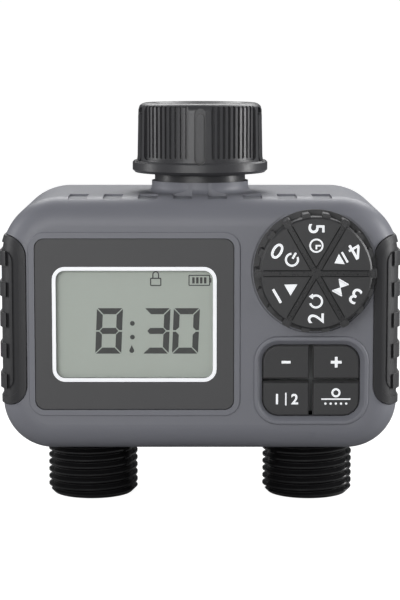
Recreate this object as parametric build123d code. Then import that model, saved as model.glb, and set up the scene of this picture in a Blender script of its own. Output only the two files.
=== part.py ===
from build123d import *
import math
import os

# Two-outlet hose irrigation timer. It hangs from a garden tap by its swivel nut, and two hoses screw on
# below.
# +X is to the viewer's right, +Y runs from the display to the battery tray, +Z is up, all in millimetres.
# The origin is on the inlet axis, at the inner end of the nut's thread, where the tap's end stops.

# ---------------------------------------------------------------- driving dimensions

# Garden hose thread, 3/4 inch, 11.5 threads per inch
thread_pitch = 2.209
male_major_r = 13.495
male_minor_r = 12.06
female_minor_r = 12.35
female_major_r = 13.6
crest_width = 0.45
groove_width = 0.3

# Housing
body_width = 114.4
body_height = 73.4
body_front = 31.0
body_back = 31.0
top_corner_r = 17.0
bottom_corner_r = 14.5
front_edge_r = 8.0
rear_edge_r = 6.0
wall = 2.6
fit = 0.3

# Swivel nut and inlet
nut_thread_depth = 10.9
nut_mouth_chamfer = 1.0
nut_r_top = 18.45
nut_r_bottom = 18.8
nut_flange_r = 20.15
nut_flange_height = 3.5
nut_lip = 2.7
nut_lip_r = 10.7
nut_top_round = 2.4
nut_groups = 5
nut_panel_depth = 0.3
nut_panel_round = 1.4
nut_panel_border_deg = 0.9
slots_per_panel = 10
slot_pitch_deg = 5.3
slot_half_width = 0.42
slot_depth = 1.1
nut_bar_half_width = 1.1
nut_bar_groove = 0.55
nut_bar_depth = 0.75
washer_thickness = 3.0
washer_gap = 0.3
washer_r = 12.1
washer_bore_r = 8.2
spigot_flange = 2.4
spigot_flange_r = 11.8
swivel_gap = 0.3
neck_r = 13.5
neck_show = 2.2
boss_height = 3.2
boss_wall = 0.6
boss_round = 1.8
inlet_bore_r = 6.8
inlet_tube_wall = 2.0
collar_r = 15.5
collar_height = 2.1
filter_wall = 0.6
filter_rim = 1.0
filter_length = 8.6
filter_tip_r = 2.6

# Outlets
outlet_spacing = 65.0
outlet_length = 18.2
outlet_pilot = 1.2
outlet_pilot_r = 11.65
outlet_bore_r = 8.0
outlet_tube_wall = 1.6
outlet_lead_in = 1.6
outlet_thread_start = 0.3
outlet_thread_low = 0.1
outlet_thread_gap = 1.3
outlet_flange_r = 13.4
outlet_flange = 1.6
outlet_tube_length = 15.0
ring_groove = 1.1
ring_groove_width = 1.6
ring_section_r = 0.56
ring_depth = 3.2

# Display
panel_width = 57.0
panel_height = 49.4
panel_x = -18.8
panel_z = -50.6
panel_corner_r = 2.8
panel_thickness = 2.0
panel_sink = 0.25
frame_width = 1.9
frame_height = 0.5
frame_round = 0.35
panel_backing = 1.6
panel_backing_border = 1.5
window_width = 45.1
window_height = 31.2
window_corner_r = 2.6
window_lip = 1.5
pane_front = 1.2
lcd_thickness = 2.2
lcd_corner_r = 0.6

# Dial
dial_x = 32.7
dial_z = -35.0
dial_r = 15.9
dial_height = 8.2
dial_skirt_proud = 1.6
dial_skirt = 1.0
dial_lugs = 18
dial_lug_width = 2.4
dial_lug_height = 1.1
dial_ribs = 6
dial_rib_width = 1.3
dial_rib_height = 0.45
dial_recess = 0.8
dial_wall = 1.8
dial_top = 2.0
dial_spoke_proud = 0.25
dial_boss_r = 7.2
dial_boss_height = 1.8
shaft_r = 3.0
shaft_fit = 0.08
shaft_flat = 1.0
shaft_tip_depth = 2.6
seal_wire_r = 0.88
switch_half_width = 8.0
switch_depth = 6.0

# Buttons
keys_x = 31.9
keys_z = -66.85
keys_width = 27.6
keys_height = 20.3
keys_corner_r = 4.6
keys_gap = 1.2
keys_rim_width = 2.75
keys_rim_height = 0.9
keys_rim_bevel = 1.25
keys_rim_round = 0.6
key_edge_round = 0.4
key_stem_r = 1.9
key_flange_border = 1.1
key_proud = 0.4
key_travel = 0.8
key_flange = 0.9
stem_gap = 0.1
mat_thickness = 1.2
dome_height = 1.9
dome_base_r = 3.6
dome_top_r = 2.4
dome_wall = 0.5
pill_r = 1.4

# Grips
grip_wrap = 7.3
grip_top = -25.4
grip_bottom = -74.1
grip_corner_r = 5.8
grip_depth = 1.4
grip_proud = 0.5
grip_pad_proud = 0.25
grip_band = 2.0
grip_lugs = 5
grip_lug_pitch = 8.9
grip_lug_width = 4.2
grip_lug_proud = 0.85
grip_lug_start = 1.4

# Notches along the top front edge
notch_count = 8
notch_pitch = 10.05
notch_width = 5.5
notch_depth = 0.65
notch_back = -14.0

# Circuit board
board_y = -20.0
board_thickness = 1.6
board_half_width = 43.0
board_bottom = -76.0
board_top = -25.5
board_post_r = 2.4
board_screw_r = 0.9
plug_height = 3.6
plug_x = 34.0

# Screws
screw_x = 47.6
screw_low_z = -80.3
screw_high_z = -22.6
screw_post_r = 3.4
screw_column = 1.2
screw_column_start = 8.0
gasket_width = 0.6
gasket_depth = 1.0
gasket_inset = 1.75
screw_r = 1.5
screw_head_r = 2.7
screw_head = 2.0
screw_head_round = 0.7
screw_seat = 9.5
screw_length = 14.0
slot_width = 0.7

# Valves
valve_z = -48.0
valve_r = 14.2
valve_wall = 1.8
valve_front = -12.5
valve_face = 4.5
seat_r = 5.2
seat_wall = 1.7
seat_drop = 0.9
gallery_z = -27.5
gallery_r = 7.5
gallery_bore_r = 6.0
socket_wall = 1.2
socket_fit = 0.06
riser_y = -3.0
riser_r = 6.2
riser_bore_r = 4.5
diaphragm_t = 1.2
disc_r = 9.0
disc_plate = 1.5
valve_lift = 2.4
bonnet_height = 7.8
lift_gap = 0.6
bonnet_cavity_r = 10.6
bonnet_screw_r = 17.3
lug_r = 3.0
lug_depth = 9.0
screw_hole_r = 1.1
lug_height = 3.2
spring_pocket = 1.8
pilot_hole_r = 1.0
spring_coil_r = 5.5
spring_wire_r = 0.35
hub_r = 5.0
bonnet_head_r = 2.5
coil_case_r = 8.2
coil_case_length = 14.0
plunger_r = 2.6
plunger_fit = 0.08
guide_wall = 0.65
plunger_length = 8.0
plunger_pocket = 2.5
can_wall = 1.0
can_lid = 0.8
magnet_r = 5.0
magnet_thickness = 2.0

# Battery tray: two AA cells, upright, side by side
cell_r = 7.15
cell_length = 50.0
cell_nub = 1.0
cell_nub_r = 2.7
cell_gap = 0.5
cell_end_room = 1.9
tray_wall = 1.2
tray_fit = 0.3
tray_plate_side = 3.25
tray_plate_end = 2.4
tray_plate = 2.4
tray_corner_r = 6.0
tray_edge_round = 0.6
bay_wall = 1.5
bay_gap = 0.6
contact_thickness = 0.5
blade_thickness = 0.4
blade_x = 7.5
blade_z = 4.0
pull_width = 22.0
pull_height = 3.2
pull_proud = 2.6

# ---------------------------------------------------------------- places worked out from them

washer_top = -washer_gap
flange_top = washer_top - washer_thickness
lip_top = flange_top - spigot_flange - swivel_gap
nut_bottom = lip_top - nut_lip
nut_top = nut_thread_depth + nut_mouth_chamfer
neck_top = nut_bottom - swivel_gap
boss_top = neck_top - neck_show
body_top = boss_top - boss_height
body_bottom = body_top - body_height
body_mid_z = (body_top + body_bottom) / 2
outlet_end = body_bottom - outlet_length
outlet_x = outlet_spacing / 2
inlet_tube_r = inlet_bore_r + inlet_tube_wall
outlet_tube_r = outlet_bore_r + outlet_tube_wall
spigot_ring_z = gallery_z + 4.5
inner_front = -body_front + wall
inner_back = body_back - wall
inner_top = body_top - wall
inner_bottom = body_bottom + wall
grip_x = body_width / 2 - grip_wrap
flange_low = inner_bottom + 0.2
tube_top = flange_low + outlet_flange + outlet_tube_length
board_back = board_y + board_thickness
valve_seat = valve_face - seat_drop
bonnet_y = valve_face + diaphragm_t
bonnet_cavity = valve_lift + disc_plate + lift_gap
case_y = bonnet_y + bonnet_height
guide_r = plunger_r + plunger_fit
magnet_y = case_y + coil_case_length - can_lid - magnet_thickness
shelf_y = magnet_y - can_lid + 0.2
tray_half_width = 2 * cell_r + cell_gap / 2 + tray_wall
tray_half_height = cell_length / 2 + cell_end_room + tray_wall
tray_plate_width = 2 * (tray_half_width + tray_plate_side)
tray_plate_height = 2 * (tray_half_height + tray_plate_end)
tray_plate_y = body_back - tray_plate
tray_mouth = tray_plate_y - 2 * cell_r - cell_gap - tray_wall
bay_front = tray_mouth - bay_gap
screw_tip = screw_seat - screw_length
seal_r = shaft_r + seal_wire_r + 0.1
cell_x = cell_r + cell_gap / 4
cell_y = tray_mouth + tray_wall / 2 + cell_r + cell_gap / 2
keys_face = -body_front - key_proud
frame_face = -body_front - frame_height
panel_face = frame_face + panel_sink
panel_back = panel_face + panel_thickness
pane_back = panel_back
lcd_width = window_width + 2 * window_lip - 0.4
lcd_height = window_height + 2 * window_lip - 0.4
lcd_face = pane_back + 0.2
lcd_back = lcd_face + lcd_thickness
dial_floor = -body_front + dial_recess
dial_back = dial_floor - swivel_gap
dial_face = -body_front - dial_height
dial_skirt_r = dial_r + dial_skirt_proud
dial_recess_r = dial_skirt_r + 2 * fit
dome_top = board_y - mat_thickness - dome_height
pill_y = mat_thickness + 0.2

os.makedirs("parts", exist_ok=True)


# ---------------------------------------------------------------- shared shapes

def rod(radius, start, end, x=0, y=0):
    """A vertical cylinder between two heights."""
    return Pos(x, y, start) * Cylinder(radius, end - start, align=(Align.CENTER, Align.CENTER, Align.MIN))


def tube(outer, inner, start, end, x=0, y=0):
    """A vertical tube between two heights."""
    return rod(outer, start, end, x, y) - rod(inner, start - 1, end + 1, x, y)


def pin(radius, front, back, x, z):
    """A cylinder along Y between two depths."""
    return Pos(x, back, z) * Rot(90, 0, 0) * Cylinder(
        radius, back - front, align=(Align.CENTER, Align.CENTER, Align.MIN))


def ring(outer, inner, front, back, x, z):
    """A tube along Y between two depths."""
    return pin(outer, front, back, x, z) - pin(inner, front - 1, back + 1, x, z)


def block(x0, x1, y0, y1, z0, z1):
    """A box between two corners."""
    return Pos((x0 + x1) / 2, (y0 + y1) / 2, (z0 + z1) / 2) * Box(x1 - x0, y1 - y0, z1 - z0)


def slab(sketch, front, back):
    """A sketch in the X-Z plane, extruded between two depths."""
    return extrude(Plane.XZ.offset(-back) * sketch, back - front)


def plate(width, height, corner, front, back, x, z):
    """A rounded rectangle seen from the front, between two depths."""
    return slab(Pos(x, z) * RectangleRounded(width, height, corner), front, back)


def mirror_x(shape):
    """The same piece on the other side of the timer."""
    return mirror(shape, Plane.YZ)


def helix_bar(root, tip, height, pitch, crest, bury, start):
    """A trapezoid wound on a helix, with 60 degree flanks, between a root and a tip radius."""
    flank = math.tan(math.radians(30))
    rise = tip - root
    out = 0.2 if rise > 0 else -0.2
    sunk = -bury if rise > 0 else bury
    half = crest / 2
    points = [
        (sunk, -(half + (abs(rise) + bury) * flank)),
        (rise + out, -(half - abs(out) * flank)),
        (rise + out, half - abs(out) * flank),
        (sunk, half + (abs(rise) + bury) * flank),
    ]
    section = Plane(origin=(root, 0, 0), x_dir=(1, 0, 0), z_dir=(0, -1, 0)) * make_face(
        Polyline(*points, close=True))
    return Pos(0, 0, start) * sweep(section, path=Helix(pitch, height, root), is_frenet=True)


def coil_spring(radius, wire, height, turns):
    """A round-wire compression spring standing on Z = 0, with its wire inside that height."""
    path = Helix((height - 2 * wire) / turns, height - 2 * wire, radius)
    section = Plane(origin=path @ 0, z_dir=path % 0) * Circle(wire)
    return Pos(0, 0, wire) * sweep(section, path=path, is_frenet=True)


def groove_ring(radius, z, x=0):
    """The rubber ring that lies in the groove of a vertical tube."""
    return Pos(x, 0, z) * Torus(radius - ring_groove + ring_section_r + 0.02, ring_section_r)


def along_y(shape, x, y, z):
    """Turns a shape built along +Z to run along +Y from a point."""
    return Pos(x, y, z) * Rot(-90, 0, 0) * shape


def cable(points, radius):
    """A round lead along straight runs with tangent bends."""
    runs = [math.dist(a, b) for a, b in zip(points, points[1:])]
    radii = []
    for i in range(1, len(points) - 1):
        before = Vector(points[i]) - Vector(points[i - 1])
        after = Vector(points[i + 1]) - Vector(points[i])
        half_turn = math.radians(before.get_angle(after)) / 2
        radii.append(0.45 * min(runs[i - 1], runs[i]) / math.tan(half_turn))
    path = FilletPolyline(*points, radius=radii)
    return sweep(Plane(origin=path @ 0, z_dir=path % 0) * Circle(radius), path=path)


def save(name, shape):
    """Writes one sub-part, named for its node."""
    solids = shape.solids()
    if not solids or min(s.volume for s in solids) <= 0:
        raise ValueError(name + " has no volume")
    export_step(Compound(children=list(solids)) if len(solids) > 1 else solids[0], f"parts/{name}.step")


# ---------------------------------------------------------------- housing

def housing_outline(grow):
    """The housing's front view, its corners rounder at the top, grown all round."""
    outline = Pos(0, body_mid_z) * Rectangle(body_width + 2 * grow, body_height + 2 * grow)
    corners = outline.vertices().group_by(Axis.Y)
    outline = fillet(corners[-1], top_corner_r + grow)
    corners = outline.vertices().group_by(Axis.Y)
    return fillet(corners[0], bottom_corner_r + grow)


def housing_solid(grow):
    """The housing's outer form, grown all round, with its rounded front and rear edges."""
    solid = slab(housing_outline(grow), -body_front - grow, body_back + grow)
    front = solid.faces().sort_by(Axis.Y)[0]
    solid = fillet(front.edges(), front_edge_r + grow)
    back = solid.faces().sort_by(Axis.Y)[-1]
    return fillet(back.edges(), rear_edge_r + grow)


def grip_region(inset, side):
    """The area a side grip covers, seen from the front, as a deep block with rounded inner corners."""
    reach = grip_wrap + 2 * grip_lug_proud + wall * 2 - inset
    height = grip_top - grip_bottom - 2 * inset
    x = grip_x + inset + reach / 2
    z = (grip_top + grip_bottom) / 2
    flat = Pos(x, z) * Rectangle(reach, height)
    inner = flat.vertices().group_by(Axis.X)[0]
    flat = fillet(inner, grip_corner_r - inset * 0.6)
    deep = slab(flat, -body_front - 5, body_back + 5)
    return deep if side > 0 else mirror_x(deep)


def grip_layer(low, high, region):
    """A skin over the housing between two heights, inside a region."""
    return (solids_by_growth[high] & region) - solids_by_growth[low]


def make_grip(side):
    """A rubber side grip: a proud outer band, a lower band inside it and a pad with cross lugs."""
    outer = grip_region(0, side)
    inner = grip_region(grip_band, side)
    pad = grip_region(2 * grip_band, side)
    grip = grip_layer(-grip_depth, 0, outer)
    grip = grip + (grip_layer(0, grip_proud, outer) - inner)
    grip = grip + grip_layer(0, grip_pad_proud, pad)
    middle = (grip_top + grip_bottom) / 2
    for i in range(grip_lugs):
        z = middle + (i - (grip_lugs - 1) / 2) * grip_lug_pitch
        x0 = body_width / 2 - grip_lug_start
        lug = block(x0, x0 + 6, -body_front, body_back, z - grip_lug_width / 2, z + grip_lug_width / 2)
        lug = lug if side > 0 else mirror_x(lug)
        grip = grip + grip_layer(0, grip_lug_proud, lug)
    return grip - pin(dial_recess_r, -body_front - 10, dial_floor, dial_x, dial_z)


solids_by_growth = {g: housing_solid(g) for g in (0, grip_proud, grip_pad_proud, grip_lug_proud,
                                                -grip_depth, -wall)}
body_outer = solids_by_growth[0]
body_inner = solids_by_growth[-wall]


def raised_frame(shape):
    """Adds the lip round the display panel and the rim round the buttons."""
    lip = plate(panel_width + 2 * frame_width, panel_height + 2 * frame_width, panel_corner_r + frame_width,
                frame_face, -body_front + 1, panel_x, panel_z)
    lip = fillet(lip.faces().sort_by(Axis.Y)[0].edges(), frame_round)
    rim = plate(keys_width + 2 * keys_rim_width, keys_height + 2 * keys_rim_width,
                keys_corner_r + keys_rim_width, -body_front - keys_rim_height, -body_front + 1,
                keys_x, keys_z)
    rim = fillet(rim.faces().sort_by(Axis.Y)[0].edges(), keys_rim_round)
    return shape + lip + rim


def display_openings():
    """What the display needs cut from the front cover: the panel's pocket and the opening behind it."""
    pocket = plate(panel_width + 0.2, panel_height + 0.2, panel_corner_r, frame_face - 5, panel_back,
                   panel_x, panel_z)
    through = plate(window_width + 2 * window_lip + 0.4, window_height + 2 * window_lip + 0.4,
                    lcd_corner_r + 0.2, frame_face - 5, inner_front + 4, panel_x, panel_z)
    return pocket + through


def key_opening():
    """The opening for the four buttons, with a bevel down from the rim."""
    width = keys_width + 2 * fit
    height = keys_height + 2 * fit
    hole = plate(width, height, keys_corner_r + fit, -body_front - 3, inner_front + 3, keys_x, keys_z)
    rim_face = -body_front - keys_rim_height
    bevel = plate(width + 2 * keys_rim_bevel, height + 2 * keys_rim_bevel,
                  keys_corner_r + fit + keys_rim_bevel, rim_face - 0.01, rim_face + keys_rim_bevel, keys_x, keys_z)
    bevel = chamfer(bevel.faces().sort_by(Axis.Y)[-1].edges(), keys_rim_bevel - 0.02, keys_rim_bevel - 0.02)
    return hole + bevel


def notches():
    """A row of shallow notches over the top front edge."""
    cut = None
    for i in range(notch_count):
        x = (i - (notch_count - 1) / 2) * notch_pitch
        one = block(x - notch_width / 2, x + notch_width / 2, -body_front - 1, notch_back,
                    body_top - notch_depth, body_top + 4)
        cut = one if cut is None else cut + one
    return cut


def port_holes():
    """Clearance for the inlet neck and the two outlets."""
    cut = rod(neck_r + fit, body_top - wall - 1, boss_top + 1)
    for side in (-1, 1):
        cut = cut + rod(male_minor_r + fit, body_bottom - 1, body_bottom + wall + 1, side * outlet_x)
    return cut


def screw_places():
    return [(s * screw_x, z) for s in (-1, 1) for z in (screw_low_z, screw_high_z)]


def board_post_places():
    left = panel_x - 20.5
    right = panel_x + 31.3
    return [(x, z) for x in (left, right) for z in (board_bottom + 3.5, board_top - 3.0)]


def make_shell():
    """The whole hollow housing, before it is split into a front and a rear cover."""
    boss = rod(neck_r + fit + boss_wall, body_top - wall, boss_top)
    outer = body_outer + boss
    joint = [e for e in outer.edges().filter_by(GeomType.CIRCLE)
             if abs(e.radius - (neck_r + fit + boss_wall)) < 0.01 and abs(e.center().Z - body_top) < 0.01]
    outer = fillet(joint, boss_round)
    outer = raised_frame(outer)
    return outer - notches()


def make_front_cover(outer):
    """The front cover: the display's pocket, the dial's recess, the button opening and the board's posts."""
    front_half = block(-200, 200, -200, 0, -200, 50)
    cover = outer - body_inner
    backing = plate(panel_width + 2 * panel_backing_border, panel_height + 2 * panel_backing_border,
                    panel_corner_r + panel_backing_border, -body_front + 1, inner_front + panel_backing,
                    panel_x, panel_z) & body_outer
    cover = cover + backing
    cover = cover + pin(dial_boss_r, inner_front - 0.5, inner_front + dial_boss_height, dial_x, dial_z)
    for x, z in screw_places():
        cover = cover + (pin(screw_post_r, inner_front - 1.0, 0, x, z) & body_outer)
    for x, z in board_post_places():
        cover = cover + pin(board_post_r, inner_front - 0.5, board_y, x, z)
    cover = cover & front_half
    cover = cover - display_openings() - key_opening() - port_holes()
    cover = cover - pin(dial_recess_r, -body_front - 2, dial_floor, dial_x, dial_z)
    cover = cover - pin(shaft_r + 2 * fit, -body_front - 2, inner_front + 3, dial_x, dial_z)
    cover = cover - pin(seal_r + seal_wire_r + 0.04, inner_front - 0.2, inner_front + 3, dial_x, dial_z)
    for x, z in screw_places():
        cover = cover - pin(screw_r, screw_tip - 0.5, 1, x, z)
    for x, z in board_post_places():
        cover = cover - pin(board_screw_r, board_y - 5, board_y + 1, x, z)
    for side in (-1, 1):
        cover = cover - (grip_region(-fit, side) - solids_by_growth[-grip_depth])
    return cover


def make_rear_cover(outer):
    """The rear cover: the battery bay, the screw columns and the tray's seat."""
    rear_half = block(-200, 200, 0, 200, -200, 50)
    cover = outer - body_inner
    bay_w = tray_half_width + tray_fit
    bay_h = tray_half_height + tray_fit
    bay = block(-bay_w - bay_wall, bay_w + bay_wall, bay_front - bay_wall, body_back - 1,
                body_mid_z - bay_h - bay_wall, body_mid_z + bay_h + bay_wall)
    cover = cover + bay
    for x, z in screw_places():
        column = pin(screw_post_r, 0, body_back - 1, x, z)
        column = column + pin(screw_post_r + screw_column, screw_column_start, body_back - 1, x, z)
        cover = cover + (column & body_outer)
    seat = plate(tray_plate_width + 2 * tray_fit + 3, tray_plate_height + 2 * tray_fit + 3,
                 tray_corner_r + 1.5, tray_plate_y - 2.6, body_back - 0.5, 0, body_mid_z)
    cover = cover + (seat & body_outer)
    cover = cover & rear_half
    cover = cover - block(-bay_w, bay_w, bay_front, body_back + 1, body_mid_z - bay_h, body_mid_z + bay_h)
    cover = cover - plate(tray_plate_width + 2 * tray_fit, tray_plate_height + 2 * tray_fit, tray_corner_r,
                          tray_plate_y - 1.0, body_back + 1, 0, body_mid_z)
    cover = cover - port_holes() - gasket_ring(0)
    for x, z in screw_places():
        cover = cover - pin(screw_r + 0.2, -1, 20, x, z)
        cover = cover - pin(screw_head_r + 0.5, screw_seat, body_back + 1, x, z)
    for side in (-1, 1):
        cover = cover - (grip_region(-fit, side) - solids_by_growth[-grip_depth])
    return cover


def gasket_ring(margin):
    """The band that the gasket fills, with a margin round the ports."""
    band = slab(housing_outline(-gasket_inset), 0, gasket_depth)
    band = band - slab(housing_outline(-gasket_inset - gasket_width), -1, gasket_depth + 1)
    if margin:
        band = band - rod(neck_r + fit + margin, body_top - 10, boss_top + 1)
        for side in (-1, 1):
            port_r = male_minor_r + fit + margin
            band = band - rod(port_r, body_bottom - 1, body_bottom + 10, side * outlet_x)
    return band


def make_housing_screws():
    """Four pan-head screws, driven from the back."""
    group = []
    for x, z in screw_places():
        head = pin(screw_head_r, screw_seat, screw_seat + screw_head, x, z)
        head = fillet(head.edges().filter_by(GeomType.CIRCLE).sort_by(Axis.Y)[-1], screw_head_round)
        cut = screw_seat + screw_head / 2
        arm = screw_head_r - 1.0
        slot = block(x - arm, x + arm, cut, cut + 5, z - slot_width / 2, z + slot_width / 2)
        cross = block(x - slot_width / 2, x + slot_width / 2, cut, cut + 5, z - arm, z + arm)
        group.append(head - slot - cross + pin(screw_r - 0.05, screw_tip, screw_seat, x, z))
    return Compound(children=group)


# ---------------------------------------------------------------- inlet

def make_union_nut():
    """The swivel nut: grip panels with fine ribs between five raised bars, and a thread inside."""
    side = [
        (0, nut_bottom), (nut_flange_r - 0.8, nut_bottom), (nut_flange_r, nut_bottom + 0.8),
        (nut_flange_r, nut_bottom + nut_flange_height - 0.5),
        (nut_flange_r - 0.5, nut_bottom + nut_flange_height),
        (nut_r_bottom, nut_bottom + nut_flange_height), (nut_r_top, nut_top), (0, nut_top),
    ]
    nut = revolve(Plane.XZ * make_face(Polyline(*side, close=True)), Axis.Z)
    nut = fillet(nut.edges().filter_by(GeomType.CIRCLE).sort_by(Axis.Z)[-1], nut_top_round)
    low = nut_bottom + nut_flange_height + 0.5
    high = nut_top - 0.9
    panel_half = (slots_per_panel - 1) / 2 * slot_pitch_deg + nut_panel_border_deg
    edge_half = panel_half + math.degrees(slot_half_width / nut_r_top)
    panel_half_width = nut_r_top * math.sin(math.radians(edge_half))
    floor = tube(nut_flange_r + 2, nut_r_top - nut_panel_depth, low, high)
    pitch = 360 / nut_groups
    cuts = []
    bars = []
    for i in range(nut_groups):
        middle = (i + 0.5) * pitch - 90
        cuts.append(Rot(0, 0, middle) * panel_block(panel_half_width, low, high, nut_panel_round) & floor)
        for k in range(slots_per_panel):
            angle = middle + (k - (slots_per_panel - 1) / 2) * slot_pitch_deg
            cuts.append(Rot(0, 0, angle) * bar_block(slot_half_width, low + 0.6, high + 0.2,
                                                     nut_r_top - slot_depth, nut_r_bottom + 2))
        turn = Rot(0, 0, i * pitch - 90)
        groove_half = nut_bar_half_width + nut_bar_groove
        cuts.append(turn * bar_block(groove_half, low - 0.9, high - 0.3, nut_r_top - nut_bar_depth,
                                     nut_r_bottom + 2))
        bars.append(turn * bar_block(nut_bar_half_width, low - 0.9 + nut_bar_groove, high - 1.9,
                                     nut_r_top - nut_bar_depth - 0.3, nut_r_bottom + 0.1))
    nut = nut - cuts + bars
    nut = nut - rod(nut_lip_r, nut_bottom - 1, nut_top + 1)
    nut = nut - rod(female_minor_r + 0.5, lip_top, washer_top)
    nut = nut - rod(female_minor_r, washer_top - 0.1, nut_top + 1)
    mouth = Pos(0, 0, nut_top - nut_mouth_chamfer) * Cone(
        female_minor_r, female_minor_r + 1.6, nut_mouth_chamfer + 0.01,
        align=(Align.CENTER, Align.CENTER, Align.MIN))
    turns = helix_bar(female_minor_r, female_major_r, nut_thread_depth + 0.5, thread_pitch, groove_width, 0.3,
                      thread_pitch / 2)
    groove_limit = rod(female_major_r, washer_top + 0.2, nut_top + 1)
    return nut - mouth - (turns & groove_limit)


def panel_block(half_width, low, high, corner):
    """A rounded upright panel that stands out along +X."""
    flat = Plane.YZ.offset(female_major_r) * Pos(0, (low + high) / 2) * RectangleRounded(
        2 * half_width, high - low, corner)
    return extrude(flat, nut_flange_r)


def bar_block(half_width, low, high, near, far):
    """A round-ended upright bar that stands out along +X."""
    flat = Plane.YZ.offset(near) * Pos(0, (low + high) / 2) * SlotOverall(
        high - low, 2 * half_width, rotation=90)
    return extrude(flat, far - near)


def make_inlet_spigot():
    """The inlet's neck: the flange that the nut swivels on, the collar and the tube into the manifold."""
    spigot = rod(spigot_flange_r, flange_top - spigot_flange, flange_top)
    spigot = spigot + rod(nut_lip_r - fit, neck_top - 1, flange_top - 0.5)
    neck = rod(neck_r, inner_top - 0.3, neck_top)
    neck = fillet(neck.edges().filter_by(GeomType.CIRCLE).sort_by(Axis.Z)[-1], 0.4)
    spigot = spigot + neck
    spigot = spigot + rod(collar_r, inner_top - 0.2 - collar_height, inner_top - 0.2)
    spigot = spigot + rod(inlet_tube_r, gallery_z + 2.5, inner_top - 2)
    spigot = spigot - rod(inlet_bore_r, gallery_z, flange_top + 1)
    return spigot - o_ring_groove(inlet_tube_r, spigot_ring_z)


def o_ring_groove(radius, z):
    """A square groove round a vertical tube."""
    return tube(radius + 1, radius - ring_groove, z - ring_groove_width / 2, z + ring_groove_width / 2)


def make_inlet_filter():
    """A cone strainer that drops into the inlet, with a flat rim under the washer's bore."""
    rim_top = washer_top - 0.4
    rim = tube(washer_bore_r - 0.2, inlet_bore_r - 1.6, rim_top - filter_rim, rim_top)
    outer_r = inlet_bore_r - 0.4
    low = rim_top - filter_rim / 2 - filter_length + 0.1
    outside = Pos(0, 0, low) * Cone(filter_tip_r, outer_r, filter_length,
                                    align=(Align.CENTER, Align.CENTER, Align.MIN))
    inside = Pos(0, 0, low + 0.8) * Cone(filter_tip_r - filter_wall, outer_r - filter_wall, filter_length,
                                         align=(Align.CENTER, Align.CENTER, Align.MIN))
    return rim + (outside - inside) - rod(outer_r - 1.0, rim_top - filter_wall, washer_top + 1)


# ---------------------------------------------------------------- outlets and manifold

def make_outlet(side):
    """A threaded outlet: the hose thread below the housing, a flange inside it and a tube to its valve."""
    x = side * outlet_x
    thread_low = outlet_end + outlet_pilot
    thread_high = body_bottom - outlet_thread_gap
    core = rod(outlet_pilot_r, outlet_end, thread_low + 0.5)
    core = chamfer(core.edges().filter_by(GeomType.CIRCLE).sort_by(Axis.Z)[0], 0.5)
    core = core + rod(male_minor_r, thread_low, inner_bottom + 0.3)
    start = outlet_end + outlet_thread_start
    bury = male_minor_r - outlet_pilot_r + 0.3
    ridge = helix_bar(male_minor_r, male_major_r, thread_high - start, thread_pitch, crest_width, bury, start)
    room = rod(male_major_r, outlet_end + outlet_thread_low, thread_high)
    room = chamfer(room.edges().filter_by(GeomType.CIRCLE).sort_by(Axis.Z)[0], outlet_lead_in)
    core = core + (ridge & room)
    core = core + rod(outlet_tube_r, inner_bottom, tube_top)
    core = core - o_ring_groove(outlet_tube_r, tube_top - ring_depth)
    flange = rod(outlet_flange_r, flange_low, flange_low + outlet_flange, x)
    flange = flange & slab(housing_outline(-wall - 0.15), inner_front, inner_back)
    bore = rod(outlet_bore_r, outlet_end - 1, tube_top + 1, x)
    return Pos(x, 0, 0) * Rot(0, 0, 180) * core + flange - bore


def make_manifold():
    """The black manifold: a gallery across the top, and a valve chamber and socket over each outlet."""
    gallery = Pos(0, 0, gallery_z) * Rot(0, 90, 0) * Cylinder(gallery_r, outlet_spacing + 12)
    gallery_bore = Pos(0, 0, gallery_z) * Rot(0, 90, 0) * Cylinder(gallery_bore_r, outlet_spacing + 9)
    inlet_socket_r = inlet_tube_r + socket_fit
    body = gallery + rod(inlet_socket_r + socket_wall, gallery_z, inner_top - 2.6)
    socket_r = outlet_tube_r + socket_fit
    socket_low = flange_low + outlet_flange + 0.6
    socket_top = tube_top + 0.6
    for side in (-1, 1):
        x = side * outlet_x
        body = body + pin(valve_r, valve_front, valve_face, x, valve_z)
        body = body + rod(socket_r + socket_wall, socket_low, socket_top + 1.6, x)
        body = body + rod(riser_r, socket_top, gallery_z, x, riser_y)
        for lx, lz in lug_places(x):
            body = body + pin(lug_r, valve_face - lug_depth, valve_face, lx, lz)
            body = body + web(x, lx, lz, valve_face - lug_depth, valve_face)
    body = body - gallery_bore
    body = body - rod(inlet_socket_r, gallery_z + 2.3, inner_top)
    body = body - rod(inlet_bore_r - 1, gallery_z, inner_top)
    for side in (-1, 1):
        x = side * outlet_x
        chamber = ring(valve_r - valve_wall, seat_r + seat_wall, valve_front + 3, valve_face + 1, x, valve_z)
        riser = rod(riser_r, valve_z - valve_r, valve_z - 2, x, riser_y)
        body = body - (chamber - riser)
        body = body - pin(valve_r - valve_wall, valve_seat, valve_face + 1, x, valve_z)
        body = body - pin(seat_r, valve_front + 4, valve_face + 1, x, valve_z)
        body = body - rod(socket_r, socket_low - 1, socket_top, x)
        body = body - rod(riser_bore_r, socket_top - 1, valve_z - 3, x, riser_y)
        body = body - rod(riser_bore_r, valve_z + seat_r + seat_wall + 2, gallery_z, x, riser_y)
        for lx, lz in lug_places(x):
            body = body - pin(screw_hole_r, valve_face - lug_depth + 1, valve_face + 1, lx, lz)
    return body


def web(x, lug_x, lug_z, front, back):
    """Joins a screw lug to its round chamber between two depths."""
    angle = math.degrees(math.atan2(lug_z - valve_z, lug_x - x))
    bar = block(valve_r - 1.5, bonnet_screw_r, front, back, -lug_r + 0.6, lug_r - 0.6)
    return Pos(x, 0, valve_z) * Rot(0, -angle, 0) * bar


# ---------------------------------------------------------------- valves

def lug_places(x):
    turns = [math.radians(a) for a in range(45, 360, 90)]
    return [(x + bonnet_screw_r * math.cos(a), valve_z + bonnet_screw_r * math.sin(a)) for a in turns]


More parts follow.
